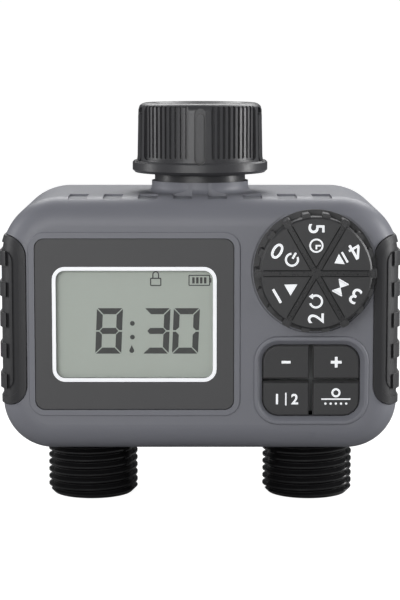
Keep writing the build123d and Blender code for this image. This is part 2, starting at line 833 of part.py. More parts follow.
def make_bonnet(side):
    """A valve's cover: the room the diaphragm lifts into, a spring pocket and the pilot hole."""
    x = side * outlet_x
    cap = pin(valve_r, bonnet_y, case_y - 1.5, x, valve_z)
    cap = cap + pin(coil_case_r + 0.6, case_y - 2, case_y, x, valve_z)
    for lx, lz in lug_places(x):
        cap = cap + pin(lug_r, bonnet_y, bonnet_y + lug_height, lx, lz)
        cap = cap + web(x, lx, lz, bonnet_y, bonnet_y + lug_height)
    cap = cap - pin(bonnet_cavity_r, bonnet_y - 1, bonnet_y + bonnet_cavity, x, valve_z)
    pocket_back = bonnet_y + bonnet_cavity + spring_pocket
    cap = cap - ring(spring_coil_r + 1.9, spring_coil_r - 1.9, bonnet_y + bonnet_cavity - 1, pocket_back,
                     x, valve_z)
    cap = cap - pin(pilot_hole_r, bonnet_y, case_y + 1, x, valve_z)
    for lx, lz in lug_places(x):
        cap = cap - pin(screw_hole_r + 0.3, bonnet_y - 1, bonnet_y + 5, lx, lz)
        cap = cap - pin(bonnet_head_r + 0.2, bonnet_y + lug_height, case_y + 1, lx, lz)
    return cap


def make_bonnet_screws():
    """Four pan-head screws for each bonnet."""
    group = []
    for side in (-1, 1):
        for lx, lz in lug_places(side * outlet_x):
            seat = bonnet_y + lug_height
            head = pin(bonnet_head_r, seat, seat + 1.7, lx, lz)
            slot = block(lx - 1.5, lx + 1.5, seat + 0.9, seat + 3, lz - 0.3, lz + 0.3)
            group.append(head - slot + pin(screw_hole_r - 0.05, seat - 9.5, seat, lx, lz))
    return Compound(children=group)


def make_diaphragm(side):
    """The rubber membrane, clamped at its rim between the chamber and the bonnet."""
    x = side * outlet_x
    skin = ring(valve_r, hub_r, valve_face, valve_face + diaphragm_t, x, valve_z)
    return skin - ring(valve_r - valve_wall - 1.2, disc_r + 0.4, valve_face - 1, valve_face + 0.5,
                       x, valve_z)


def make_valve_disc(side):
    """The stiff disc that the diaphragm carries: a plate behind it, a hub and a pad on the seat."""
    x = side * outlet_x
    disc = pin(disc_r, bonnet_y, bonnet_y + disc_plate, x, valve_z)
    disc = disc + pin(hub_r - 0.05, valve_face - 0.1, bonnet_y + 0.1, x, valve_z)
    disc = disc + pin(seat_r + seat_wall, valve_seat + 0.1, valve_face - 0.02, x, valve_z)
    return disc


def make_diaphragm_spring(side):
    """The spring that shuts the valve."""
    room = bonnet_cavity + spring_pocket - disc_plate
    return along_y(coil_spring(spring_coil_r, spring_wire_r, room - 0.1, 3), side * outlet_x,
                   bonnet_y + disc_plate + 0.05, valve_z)


def make_solenoid_case(side):
    """The steel can of the latching coil, with the plunger's guide tube."""
    x = side * outlet_x
    end = case_y + coil_case_length
    inside_r = coil_case_r - can_wall / 2
    can = ring(coil_case_r, coil_case_r - can_wall, case_y, end, x, valve_z)
    can = can + ring(inside_r, guide_r, case_y, case_y + can_wall, x, valve_z)
    can = can + ring(inside_r, guide_r, shelf_y, shelf_y + can_lid, x, valve_z)
    can = can + ring(guide_r + guide_wall, guide_r, case_y, shelf_y + can_lid, x, valve_z)
    return can + pin(inside_r, end - can_lid, end, x, valve_z)


def make_coil(side):
    """The copper winding round the guide tube."""
    x = side * outlet_x
    return ring(coil_case_r - can_wall - 0.6, guide_r + guide_wall + 0.2, case_y + can_wall + 0.2,
                shelf_y - 0.2, x, valve_z)


def make_latch_magnets():
    """The magnet behind each plunger that holds it back once it is pulled."""
    return Compound(children=[pin(magnet_r, magnet_y + 0.25, magnet_y + magnet_thickness - 0.05,
                                  side * outlet_x, valve_z) for side in (-1, 1)])


def make_plunger(side):
    """The steel plunger that opens the pilot hole, with its rubber tip's pocket."""
    x = side * outlet_x
    body = pin(plunger_r, case_y + 0.1, case_y + 0.1 + plunger_length, x, valve_z)
    body = chamfer(body.edges().filter_by(GeomType.CIRCLE), 0.3)
    pocket = case_y + plunger_length - plunger_pocket
    return body - pin(plunger_r / 2, pocket, pocket + plunger_length, x, valve_z)


def make_plunger_spring(side):
    """The spring that pushes the plunger on to the pilot hole."""
    x = side * outlet_x
    start = case_y + plunger_length - plunger_pocket + 0.05
    return along_y(coil_spring(0.95, 0.18, magnet_y + 0.2 - start, 7), x, start, valve_z)


# ---------------------------------------------------------------- display, board and dial

def make_display_bezel():
    """The dark panel round the display, with a stepped opening for its window."""
    panel = plate(panel_width, panel_height, panel_corner_r, panel_face, panel_back, panel_x, panel_z)
    panel = fillet(panel.faces().sort_by(Axis.Y)[0].edges(), 0.2)
    panel = panel - plate(window_width, window_height, window_corner_r, panel_face - 1, panel_back + 1,
                          panel_x, panel_z)
    return panel - plate(window_width + 2 * window_lip, window_height + 2 * window_lip,
                         window_corner_r + window_lip, panel_face + pane_front, panel_back + 1,
                         panel_x, panel_z)


def make_display_window():
    """The clear window, stepped so that it seats in the panel from behind."""
    pane = plate(window_width - 0.1, window_height - 0.1, window_corner_r - 0.05, panel_face + 0.1,
                 pane_back, panel_x, panel_z)
    return pane + plate(window_width + 2 * window_lip - 0.1, window_height + 2 * window_lip - 0.1,
                        window_corner_r + window_lip - 0.05, panel_face + pane_front + 0.02, pane_back,
                        panel_x, panel_z)


def make_lcd():
    """The liquid crystal cell."""
    return plate(lcd_width, lcd_height, lcd_corner_r, lcd_face, lcd_back, panel_x, panel_z)


def make_lcd_holder():
    """The frame that carries the display on the board."""
    outer = plate(lcd_width, lcd_height, lcd_corner_r, lcd_back, board_y, panel_x, panel_z)
    return outer - plate(lcd_width - 4, lcd_height - 4, lcd_corner_r, lcd_back - 1, board_y + 1,
                         panel_x, panel_z)


def make_main_board():
    """The circuit board, with holes for its screws and the dial switch's pins."""
    board = block(-board_half_width, board_half_width, board_y, board_back, board_bottom, board_top)
    board = fillet(board.edges().filter_by(Axis.Y), 2.0)
    for x, z in board_post_places():
        board = board - pin(1.2, board_y - 1, board_back + 1, x, z)
    return board


def make_board_screws():
    """Screws that hold the board on the front cover's posts."""
    group = []
    for x, z in board_post_places():
        head = pin(2.0, board_back, board_back + 1.4, x, z)
        slot = block(x - 1.3, x + 1.3, board_back + 0.7, board_back + 3, z - 0.25, z + 0.25)
        group.append(head - slot + pin(0.85, board_back - 5.6, board_back, x, z))
    return Compound(children=group)


def make_board_chips():
    """The parts soldered on the back of the board: controller, driver, crystal and plugs."""
    z = body_mid_z
    chips = [
        block(-11, -1, board_back, board_back + 1.4, z - 5, z + 5),
        block(6, 12, board_back, board_back + 1.6, z + 3, z + 8),
        block(6, 12, board_back, board_back + 1.6, z - 8, z - 3),
        pin(2.2, board_back, board_back + 3.2, -6, z + 14),
        pin(2.2, board_back, board_back + 3.2, -12, z + 14),
        block(-6.5, 6.5, board_back, board_back + plug_height, board_bottom + 2, board_bottom + 7),
    ]
    for side in (-1, 1):
        x = side * plug_x
        chips.append(block(x - 2.6, x + 2.6, board_back, board_back + plug_height, z - 1, z + 7))
    return Compound(children=chips)


def make_selector_switch():
    """The six-way rotary switch behind the dial."""
    half = switch_half_width
    body = block(dial_x - half, dial_x + half, board_y - switch_depth, board_y, dial_z - half, dial_z + half)
    body = fillet(body.edges().filter_by(Axis.Y), 1.0)
    return body - pin(shaft_r + shaft_fit, board_y - 8, board_y - 1.4, dial_x, dial_z)


def make_selector_shaft():
    """The switch's shaft, with a flat at its front end for the dial."""
    shaft = pin(shaft_r, dial_face + shaft_tip_depth, board_y - 1.5, dial_x, dial_z)
    return shaft - shaft_flat_block(shaft_flat)


def shaft_flat_block(depth):
    """What the flat takes off the shaft, a given depth from its top."""
    reach = shaft_r + 1
    low = dial_z + shaft_r - depth
    return block(dial_x - reach, dial_x + reach, dial_face, dial_back, low, low + reach)


def make_dial():
    """The dial: a hollow cap with a skirt, edge lugs and six raised ribs that part its sectors."""
    cap = pin(dial_r, dial_face, dial_back, dial_x, dial_z)
    cap = chamfer(cap.edges().filter_by(GeomType.CIRCLE).sort_by(Axis.Y)[0], 0.5)
    cap = cap + pin(dial_skirt_r, dial_back - dial_skirt, dial_back, dial_x, dial_z)
    for i in range(dial_lugs):
        angle = i * 360 / dial_lugs
        spoke = i % (dial_lugs // dial_ribs) == 0
        reach = dial_r + dial_lug_height + (dial_spoke_proud if spoke else 0)
        front = dial_face + (0.15 if spoke else 1.0)
        lug = block(dial_r - 1.0, reach, front, dial_back, -dial_lug_width / 2, dial_lug_width / 2)
        lug = chamfer(lug.faces().sort_by(Axis.X)[-1].edges().filter_by(Axis.Y), 0.35)
        cap = cap + Pos(dial_x, 0, dial_z) * Rot(0, angle, 0) * lug
    for i in range(dial_ribs):
        angle = i * 360 / dial_ribs
        rib = block(0, dial_r + 0.7, dial_face - dial_rib_height, dial_face + 1.0, -dial_rib_width / 2,
                    dial_rib_width / 2)
        cap = cap + Pos(dial_x, 0, dial_z) * Rot(0, angle, 0) * rib
    hollow = ring(dial_r - dial_wall, shaft_r + dial_wall, dial_face + dial_top, dial_back + 1,
                  dial_x, dial_z)
    cap = cap - hollow
    bore = pin(shaft_r + 0.05, dial_face + shaft_tip_depth - 0.1, dial_back + 1, dial_x, dial_z)
    return cap - (bore - shaft_flat_block(shaft_flat - 0.05))


def make_dial_seal():
    """The O-ring round the dial's shaft."""
    return Pos(dial_x, inner_front + 0.75, dial_z) * Rot(90, 0, 0) * Torus(seal_r, seal_wire_r)


# ---------------------------------------------------------------- buttons

def key_places():
    dx = (keys_width + keys_gap) / 4
    dz = (keys_height + keys_gap) / 4
    sides = {"minus": (-1, 1), "plus": (1, 1), "zone": (-1, -1), "ok": (1, -1)}
    return {name: (sx, sz, dx, dz) for name, (sx, sz) in sides.items()}


def make_key(name):
    """A push button: a quarter of the rounded block, a flange behind the cover and a stem."""
    sx, sz, dx, dz = key_places()[name]
    x0, x1 = sorted((keys_x + sx * keys_gap / 2, keys_x + sx * 40))
    z0, z1 = sorted((keys_z + sz * keys_gap / 2, keys_z + sz * 40))
    quarter = block(x0, x1, -60, 0, z0, z1)
    cap = plate(keys_width, keys_height, keys_corner_r, keys_face, inner_front + fit, keys_x, keys_z)
    cap = cap & quarter
    cap = fillet(cap.faces().sort_by(Axis.Y)[0].edges(), key_edge_round)
    grown = plate(keys_width + 2 * key_flange_border, keys_height + 2 * key_flange_border,
                  keys_corner_r + key_flange_border, inner_front + 0.25, inner_front + 0.25 + key_flange,
                  keys_x, keys_z) & quarter
    stem = pin(key_stem_r, inner_front, dome_top - key_travel - stem_gap, keys_x + sx * dx, keys_z + sz * dz)
    return cap + grown + stem


def make_keypad_mat():
    """The silicone mat on the board, with a dome under each button."""
    mat = plate(keys_width + 1, keys_height + 1, keys_corner_r, board_y - mat_thickness, board_y,
                keys_x, keys_z)
    for sx, sz, dx, dz in key_places().values():
        x, z = keys_x + sx * dx, keys_z + sz * dz
        dome = Cone(dome_base_r, dome_top_r, dome_height, align=(Align.CENTER, Align.CENTER, Align.MIN))
        mat = mat + Pos(x, board_y - mat_thickness, z) * Rot(90, 0, 0) * dome
        hollow = Cone(dome_base_r - dome_wall, dome_top_r - dome_wall, pill_y,
                      align=(Align.CENTER, Align.CENTER, Align.MIN))
        mat = mat - Pos(x, board_y, z) * Rot(90, 0, 0) * hollow
    return mat


def make_contact_pills():
    """The four carbon pills under the mat's domes."""
    pills = [pin(pill_r, board_y - pill_y + 0.02, board_y - pill_y + 0.5, keys_x + sx * dx, keys_z + sz * dz)
             for sx, sz, dx, dz in key_places().values()]
    return Compound(children=pills)


# ---------------------------------------------------------------- battery tray

def make_battery_tray():
    """The tray: a plate that closes the bay, and a frame open to the front that holds the cells."""
    face = plate(tray_plate_width, tray_plate_height, tray_corner_r - tray_fit, tray_plate_y, body_back,
                 0, body_mid_z)
    face = fillet(face.faces().sort_by(Axis.Y)[-1].edges(), tray_edge_round)
    frame = block(-tray_half_width, tray_half_width, tray_mouth, tray_plate_y,
                  body_mid_z - tray_half_height, body_mid_z + tray_half_height)
    room = block(-tray_half_width + tray_wall, tray_half_width - tray_wall, tray_mouth - 1,
                 tray_plate_y - 0.3, body_mid_z - tray_half_height + tray_wall,
                 body_mid_z + tray_half_height - tray_wall)
    pull = plate(pull_width, pull_height, pull_height / 2 - 0.05, body_back - 0.5, body_back + pull_proud,
                 0, body_mid_z)
    pull = fillet(pull.faces().sort_by(Axis.Y)[-1].edges(), tray_edge_round)
    return face + (frame - room) + pull


def make_tray_seal():
    """The rubber ring that the tray's plate presses against the rear cover."""
    outer = plate(tray_plate_width - 0.4, tray_plate_height - 0.4, tray_corner_r - 0.5, tray_plate_y - 0.95,
                  tray_plate_y, 0, body_mid_z)
    return outer - block(-tray_half_width - 0.35, tray_half_width + 0.35, tray_plate_y - 3, tray_plate_y + 1,
                         body_mid_z - tray_half_height - 0.35, body_mid_z + tray_half_height + 0.35)


def make_cell(side):
    """An AA cell, its positive end up on one side and down on the other."""
    x = side * cell_x
    low = body_mid_z - cell_length / 2
    can = rod(cell_r, low, low + cell_length - cell_nub, x, cell_y)
    can = fillet(can.edges().filter_by(GeomType.CIRCLE), 0.5)
    nub = rod(cell_nub_r, low + cell_length - cell_nub - 0.5, low + cell_length, x, cell_y)
    cell = can + nub
    return cell if side > 0 else Pos(0, 0, 2 * body_mid_z) * mirror(cell, Plane.XY)


def make_tray_contacts():
    """The plates and springs that join the two cells and bring the current to the tray's mouth."""
    reach = cell_length / 2 + cell_end_room
    half = cell_r * 0.7
    across = tray_half_width - tray_wall - 1
    top = body_mid_z + reach
    low = body_mid_z - reach
    group = [block(-across, across, cell_y - half, cell_y + half, top - contact_thickness, top)]
    for x in (-cell_x, cell_x):
        group.append(block(x - half, x + half, cell_y - half, cell_y + half, low, low + contact_thickness))
    return Compound(children=group)


def make_cell_springs():
    """The two coil springs that press on the cells' negative ends."""
    height = cell_end_room - contact_thickness - 0.1
    low = body_mid_z - cell_length / 2 - cell_end_room + contact_thickness + 0.05
    high = body_mid_z + cell_length / 2 + 0.05
    spring = coil_spring(3.0, 0.3, height, 1.6)
    return Compound(children=[Pos(cell_x, cell_y, low) * spring, Pos(-cell_x, cell_y, high) * spring])


def make_bay_contacts():
    """The two contact blades on the bay's front wall, which pass through it to the leads."""
    group = []
    for side in (-1, 1):
        x = side * blade_x
        z = body_mid_z - tray_half_height + blade_z
        group.append(block(x - 2, x + 2, bay_front, bay_front + blade_thickness, z - 3, z + 3))
    return Compound(children=group)


def make_battery_leads():
    """The two leads from the bay's front wall to the board's plug."""
    group = []
    for side in (-1, 1):
        z = body_mid_z - tray_half_height + blade_z
        start = bay_front - bay_wall
        plug = board_back + plug_height
        low = board_bottom + 4.5
        points = [(side * blade_x, start, z), (side * blade_x, start - 5.5, z),
                  (side * 6.2, start - 12, z + 1.2), (side * 3, plug + 6, low), (side * 3, plug, low)]
        group.append(cable(points, 0.8))
    return Compound(children=group)


def make_solenoid_lead(side):
    """The twin lead from a coil's can, out round its valve and back to the plug on the board."""
    z = valve_z
    can = outlet_x + coil_case_r
    out = outlet_x + valve_r + 3.2
    y = case_y + coil_case_length / 2
    plug_y = board_back + plug_height / 2
    points = [(can, y, z), (can + 5.2, y, z), (out - 0.6, y - 5.5, z), (out, y - 13, z),
              (out - 0.2, y - 23, z), (out - 0.5, plug_y + 4.6, z), (plug_x + 11.5, plug_y, z),
              (plug_x + 2.6, plug_y, z)]
    lead = cable(points, 0.9)
    return lead if side > 0 else mirror_x(lead)


# ---------------------------------------------------------------- build

shell_outer = make_shell()
save("front_cover", make_front_cover(shell_outer))
save("rear_cover", make_rear_cover(shell_outer))
save("left_grip", make_grip(-1))
save("right_grip", make_grip(1))
save("housing_screws", make_housing_screws())
save("housing_gasket", gasket_ring(0.6))
save("union_nut", make_union_nut())
save("inlet_washer", tube(washer_r, washer_bore_r, flange_top, washer_top))
save("inlet_filter", make_inlet_filter())
save("inlet_spigot", make_inlet_spigot())
save("spigot_o_ring", groove_ring(inlet_tube_r, spigot_ring_z))
save("outlet_o_rings", Compound(children=[groove_ring(outlet_tube_r, tube_top - ring_depth, side * outlet_x)
                                          for side in (-1, 1)]))
save("manifold", make_manifold())
save("bonnet_screws", make_bonnet_screws())
save("latch_magnets", make_latch_magnets())
save("display_bezel", make_display_bezel())
save("display_window", make_display_window())
save("lcd_panel", make_lcd())
save("lcd_holder", make_lcd_holder())
save("main_board", make_main_board())
save("board_screws", make_board_screws())
save("board_chips", make_board_chips())
save("selector_switch", make_selector_switch())
save("selector_shaft", make_selector_shaft())
save("dial_knob", make_dial())
save("dial_seal", make_dial_seal())
for key in key_places():
    save("button_" + key, make_key(key))
save("keypad_mat", make_keypad_mat())
save("contact_pills", make_contact_pills())
save("battery_tray", make_battery_tray())
save("tray_seal", make_tray_seal())
save("tray_contacts", make_tray_contacts())
save("cell_springs", make_cell_springs())
save("bay_contacts", make_bay_contacts())
save("battery_leads", make_battery_leads())
for name, side in (("left", -1), ("right", 1)):
    save(name + "_cell", make_cell(side))
    save(name + "_outlet", make_outlet(side))
    save(name + "_bonnet", make_bonnet(side))
    save(name + "_diaphragm", make_diaphragm(side))
    save(name + "_valve_disc", make_valve_disc(side))
    save(name + "_diaphragm_spring", make_diaphragm_spring(side))
    save(name + "_solenoid_case", make_solenoid_case(side))
    save(name + "_coil", make_coil(side))
    save(name + "_plunger", make_plunger(side))
    save(name + "_plunger_spring", make_plunger_spring(side))
    save(name + "_solenoid_lead", make_solenoid_lead(side))
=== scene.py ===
import math

import bmesh
import bpy
from mathutils import Matrix, Vector


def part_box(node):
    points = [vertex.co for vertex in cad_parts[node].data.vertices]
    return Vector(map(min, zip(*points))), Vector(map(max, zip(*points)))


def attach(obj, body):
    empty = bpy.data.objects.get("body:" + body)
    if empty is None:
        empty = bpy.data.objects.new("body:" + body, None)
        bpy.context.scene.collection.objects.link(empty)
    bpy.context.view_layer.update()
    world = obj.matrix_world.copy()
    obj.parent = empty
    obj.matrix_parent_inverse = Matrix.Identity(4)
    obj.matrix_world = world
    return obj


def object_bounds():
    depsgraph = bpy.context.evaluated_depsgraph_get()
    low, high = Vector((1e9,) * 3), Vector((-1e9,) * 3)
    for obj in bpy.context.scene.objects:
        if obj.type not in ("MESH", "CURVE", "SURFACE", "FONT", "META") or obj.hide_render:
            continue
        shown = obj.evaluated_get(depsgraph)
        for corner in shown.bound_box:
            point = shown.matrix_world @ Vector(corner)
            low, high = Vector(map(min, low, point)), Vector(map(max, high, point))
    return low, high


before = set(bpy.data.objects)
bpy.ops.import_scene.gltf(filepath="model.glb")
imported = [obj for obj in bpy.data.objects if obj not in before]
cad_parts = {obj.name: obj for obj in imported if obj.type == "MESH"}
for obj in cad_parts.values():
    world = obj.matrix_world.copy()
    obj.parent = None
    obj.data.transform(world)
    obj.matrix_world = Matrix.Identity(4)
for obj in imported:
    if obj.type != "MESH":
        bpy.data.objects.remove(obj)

CAD_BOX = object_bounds()

bl_info = {
    "name": "Irrigation Timer Looks",
    "version": (1, 0, 0),
    "blender": (4, 5, 0),
    "location": "3D View > Sidebar > Irrigation Timer",
    "description": "Finishes, markings, display and stage for a two-outlet hose irrigation timer",
    "category": "Object",
}

MM = 0.001

# How far printed ink stands over its face, and how thick the plates are that are drawn for it.
PRINT_LIFT = 0.04 * MM
PRINT_DEPTH = 0.08 * MM

# How white the paper and the surround look by themselves, so that neither has to light the timer from below.
PAPER_GLOW = 0.97
WHITE_SURROUND = 1.05

# Turns a flat X-Y drawing to face the front of the timer, with X to the right and Y up.
FACING = Matrix(((1, 0, 0), (0, 0, -1), (0, 1, 0))).to_4x4()


# ---------------------------------------------------------------- sizes and colours

def linear(hex_colour):
    """An sRGB hex colour as linear red, green, blue and alpha."""
    channels = [int(hex_colour[i:i + 2], 16) / 255 for i in (1, 3, 5)]
    return [c / 12.92 if c <= 0.04045 else ((c + 0.055) / 1.055) ** 2.4 for c in channels] + [1.0]


def colour_property(name, description, hex_colour):
    return bpy.props.FloatVectorProperty(name=name, description=description, subtype="COLOR", size=4,
                                         min=0, max=1, default=linear(hex_colour))


def length_property(name, description, millimetres):
    return bpy.props.FloatProperty(name=name, description=description, unit="LENGTH",
                                   default=millimetres * MM)


class TimerFinishes(bpy.types.PropertyGroup):
    """Colours of the timer's moulded, rubber and printed surfaces."""

    shell: colour_property("Shell", "Grey ABS of the covers and the battery tray", "#7d7e85")
    panel: colour_property("Panel", "Dark sheet round the display", "#505051")
    grip: colour_property("Grip", "Black rubber of the side grips", "#2b2b2d")
    nut: colour_property("Nut", "Glass-filled nylon of the swivel nut and the neck", "#404042")
    outlet: colour_property("Outlets", "Polished black ABS of the two threaded outlets", "#1a1a1b")
    dial: colour_property("Dial", "Matt black ABS of the dial", "#343435")
    key: colour_property("Buttons", "Silicone rubber of the buttons", "#383839")
    ink: colour_property("Ink", "White printing ink", "#fbfcfb")
    lcd: colour_property("Display", "Reflective back of the liquid crystal cell", "#bfc7bd")
    segment: colour_property("Segments", "Dark liquid crystal segments", "#202120")


class TimerSizes(bpy.types.PropertyGroup):
    """Sizes of the printed and displayed marks."""

    digit_height: length_property("Digit height", "Height of the clock's digits", 13.2)
    digit_width: length_property("Digit width", "Width of one of the clock's digits", 7.5)
    segment_width: length_property("Segment width", "Width of a display segment", 1.75)
    border_line: length_property("Border line", "Width of the white line round the window", 1.05)
    number_height: length_property("Dial number height", "Height of the dial's numbers", 4.6)
    sign_height: length_property("Dial sign height", "Height of the dial's signs", 4.0)
    key_mark: length_property("Button mark", "Length of the buttons' plus and minus signs", 3.1)


class TimerStage(bpy.types.PropertyGroup):
    """Camera and light."""

    lens: bpy.props.FloatProperty(name="Lens", description="Focal length for a 36 mm sensor, in millimetres",
                                  default=118.5)
    distance: length_property("Camera distance", "From the camera to the point it looks at", 596.4)
    pitch: bpy.props.FloatProperty(name="Pitch", description="How far the camera looks down",
                                   subtype="ANGLE", default=math.radians(7.3))
    aim: length_property("Aim height", "Height of the point it looks at over the outlets' ends", 58.5)
    ambient: bpy.props.FloatProperty(name="Ambient light", description="Strength of the even white surround",
                                     default=0.2)


# ---------------------------------------------------------------- materials

# The part of a noise's range that nearly all of its area lies in.
NOISE_RANGE = {"From Min": 0.3, "From Max": 0.7}

# The size in millimetres of the cloudy patches that flowing polymer leaves.
FLOW_MOTTLE = 18.0


def add_node(material, kind, inputs=None, output=0, **settings):
    """Adds a node to a material or a world, sets its properties, fills or links its inputs, and gives one
    of its outputs: the first, if no other is named."""
    node = material.node_tree.nodes.new(kind)
    for name, value in settings.items():
        setattr(node, name, value)
    for name, value in (inputs or {}).items():
        if isinstance(value, bpy.types.NodeSocket):
            material.node_tree.links.new(value, node.inputs[name])
        else:
            node.inputs[name].default_value = value
    return node.outputs[output] if node.outputs else None


def new_material(name):
    """An empty node material, and the object-space position that every pattern uses."""
    material = bpy.data.materials.new(name)
    material.use_nodes = True
    material.node_tree.nodes.clear()
    return material, add_node(material, "ShaderNodeTexCoord", output="Object")


def per_mm(size_mm):
    """A texture scale that gives features of about this size."""
    return 1 / (size_mm * MM)


def shade(colour, factor):
    """The colour, darker or lighter."""
    return [min(1, c * factor) for c in colour[:3]] + [1]


def finish_shader(material, **inputs):
    """Puts a Principled shader with these inputs on the material's output."""
    named = {key.replace("_", " "): value for key, value in inputs.items()}
    shader = add_node(material, "ShaderNodeBsdfPrincipled", named)
    add_node(material, "ShaderNodeOutputMaterial", {"Surface": shader})
    return material


def moulded(name, colour, rough, grain_mm, bump_mm, bump=1.0, **more):
    """A moulded polymer: an even colour, faint flow mottle, and the tool's fine grain."""
    material, place = new_material(name)
    grain = add_node(material, "ShaderNodeTexNoise",
                     {"Vector": place, "Scale": per_mm(grain_mm), "Detail": 3.0})
    mottle = add_node(material, "ShaderNodeTexNoise",
                      {"Vector": place, "Scale": per_mm(FLOW_MOTTLE), "Detail": 1.0})
    tone = add_node(material, "ShaderNodeMixRGB",
                    {"Fac": mottle, "Color1": shade(colour, 0.965), "Color2": shade(colour, 1.035)})
    dullness = add_node(material, "ShaderNodeMapRange",
                        {"Value": grain, **NOISE_RANGE, "To Min": rough - 0.05, "To Max": rough + 0.05})
    normal = add_node(material, "ShaderNodeBump",
                      {"Height": grain, "Distance": bump_mm * MM, "Strength": bump})
    return finish_shader(material, Base_Color=tone, Roughness=dullness, Normal=normal, **more)


def spark_eroded_abs(colour):
    """ABS from a spark-eroded tool: its fine grain breaks highlights into a soft satin. The real grain is
    about 0.1 mm, drawn at 0.35 mm so that it shows."""
    return moulded("spark_eroded_abs", colour, 0.46, 0.35, 0.018)


def moulded_tpe_rubber(colour):
    """Thermoplastic rubber over the shell: darker and duller than the ABS, with a soft sheen at its
    edges."""
    return moulded("moulded_tpe_rubber", colour, 0.5, 0.5, 0.02, Sheen_Weight=0.08, Sheen_Roughness=0.4)


def glass_filled_nylon(colour):
    """Glass-filled nylon: black and satin, with a slight flow grain along the wall."""
    return moulded("glass_filled_nylon", colour, 0.36, 0.6, 0.012)


def polished_black_abs(colour):
    """ABS from a polished tool: near black, with sharp highlights on each turn of the thread."""
    return moulded("polished_black_abs", colour, 0.16, 2.5, 0.004, 0.6, Coat_Weight=0.25,
                   Coat_Roughness=0.08)


def matt_screen_sheet(colour):
    """A matt printed polycarbonate sheet: flat and dark, with a very fine even grain."""
    return moulded("matt_screen_sheet", colour, 0.55, 0.3, 0.006)


def matt_dial_abs(colour):
    """Black ABS with a fine matt texture, so that the dial's sectors read as soft dark grey."""
    return moulded("matt_dial_abs", colour, 0.42, 0.3, 0.014)


def polished_rib_abs():
    """The dial's rib tops: darker than the matt face, with a sharper light."""
    return moulded("polished_rib_abs", linear("#232324"), 0.3, 0.6, 0.004)


def dark_groove_abs():
    """Painted shade in the deep corner at the foot of each rib: a near-black matt line where hardly any light
    leaves.
    """
    return moulded("dark_groove_abs", linear("#0b0b0c"), 0.75, 0.4, 0.006)


def silicone_rubber(name, colour):
    """Moulded silicone: soft and slightly waxy, with a broad highlight."""
    return moulded(name, colour, 0.52, 0.3, 0.01, Sheen_Weight=0.1, Sheen_Roughness=0.5)


def screen_ink(colour):
    """Opaque white screen-printing ink: a dry film with the mesh's faint grain, and a painted glow that
    makes it whiter than the light on it."""
    # The emission is a painted glow, not a lamp: it lifts the ink whiter than the lights make it.
    return moulded("screen_ink", colour, 0.5, 0.25, 0.004, Emission_Color=linear("#f4f8ff"),
                   Emission_Strength=0.32)


def lcd_reflector(colour):
    """The reflective back of the display: grey green, with the fine sparkle of its diffuser."""
    material, place = new_material("lcd_reflector")
    sparkle = add_node(material, "ShaderNodeTexNoise", {"Vector": place, "Scale": per_mm(0.3), "Detail": 2.0})
    tone = add_node(material, "ShaderNodeMixRGB",
                    {"Fac": sparkle, "Color1": shade(colour, 0.975), "Color2": shade(colour, 1.025)})
    dullness = add_node(material, "ShaderNodeMapRange",
                        {"Value": sparkle, **NOISE_RANGE, "To Min": 0.5, "To Max": 0.6})
    normal = add_node(material, "ShaderNodeBump",
                      {"Height": sparkle, "Distance": 0.004 * MM, "Strength": 1.0})
    return finish_shader(material, Base_Color=tone, Roughness=dullness, Normal=normal)


def liquid_crystal(colour):
    """A switched segment: a flat dark tone with soft, slightly uneven density."""
    return moulded("liquid_crystal", colour, 0.6, 0.4, 0.002)


def clear_polycarbonate():
    """The window's clear sheet: almost nothing to see but a thin veil over the display."""
    material, place = new_material("clear_polycarbonate")
    material.surface_render_method = "BLENDED"
    colour = linear("#eef2ee")
    wave = add_node(material, "ShaderNodeTexNoise", {"Vector": place, "Scale": per_mm(12.0), "Detail": 1.0})
    tone = add_node(material, "ShaderNodeMixRGB",
                    {"Fac": wave, "Color1": shade(colour, 0.98), "Color2": shade(colour, 1.0)})
    dullness = add_node(material, "ShaderNodeMapRange",
                        {"Value": wave, **NOISE_RANGE, "To Min": 0.03, "To Max": 0.06})
    return finish_shader(material, Base_Color=tone, Roughness=dullness, IOR=1.58, Alpha=0.04)


def bare_metal(name, hex_colour, rough, line_mm=0.25):
    """Bare metal with fine lines from turning or drawing, and cloudy patches of different polish."""
    material, place = new_material(name)
    colour = linear(hex_colour)
    along = add_node(material, "ShaderNodeMapping", {"Vector": place, "Scale": (1.0, 0.08, 1.0)})
    lines = add_node(material, "ShaderNodeTexNoise",
                     {"Vector": along, "Scale": per_mm(line_mm), "Detail": 2.0})
    tone = add_node(material, "ShaderNodeMixRGB",
                    {"Fac": lines, "Color1": shade(colour, 0.92), "Color2": shade(colour, 1.06)})
    dullness = add_node(material, "ShaderNodeMapRange",
                        {"Value": lines, **NOISE_RANGE, "To Min": rough - 0.06, "To Max": rough + 0.08})
    normal = add_node(material, "ShaderNodeBump", {"Height": lines, "Distance": 0.006 * MM, "Strength": 0.8})
    return finish_shader(material, Base_Color=tone, Metallic=1.0, Roughness=dullness, Normal=normal)


def nitrile_rubber():
    """Moulded nitrile seals: dull black with a dusting of talc."""
    return moulded("nitrile_rubber", linear("#1d1d1e"), 0.62, 0.8, 0.02)


def glass_epoxy_board():
    """A green circuit board: solder mask over the weave of its glass cloth."""
    material, place = new_material("glass_epoxy_board")
    weave = add_node(material, "ShaderNodeTexBrick",
                     {"Vector": place, "Scale": per_mm(2.4), "Color1": linear("#1c5a34"),
                      "Color2": linear("#236b3f"), "Mortar": linear("#174a2b"), "Mortar Size": 0.03})
    return finish_shader(material, Base_Color=weave, Roughness=0.35, Coat_Weight=0.3)


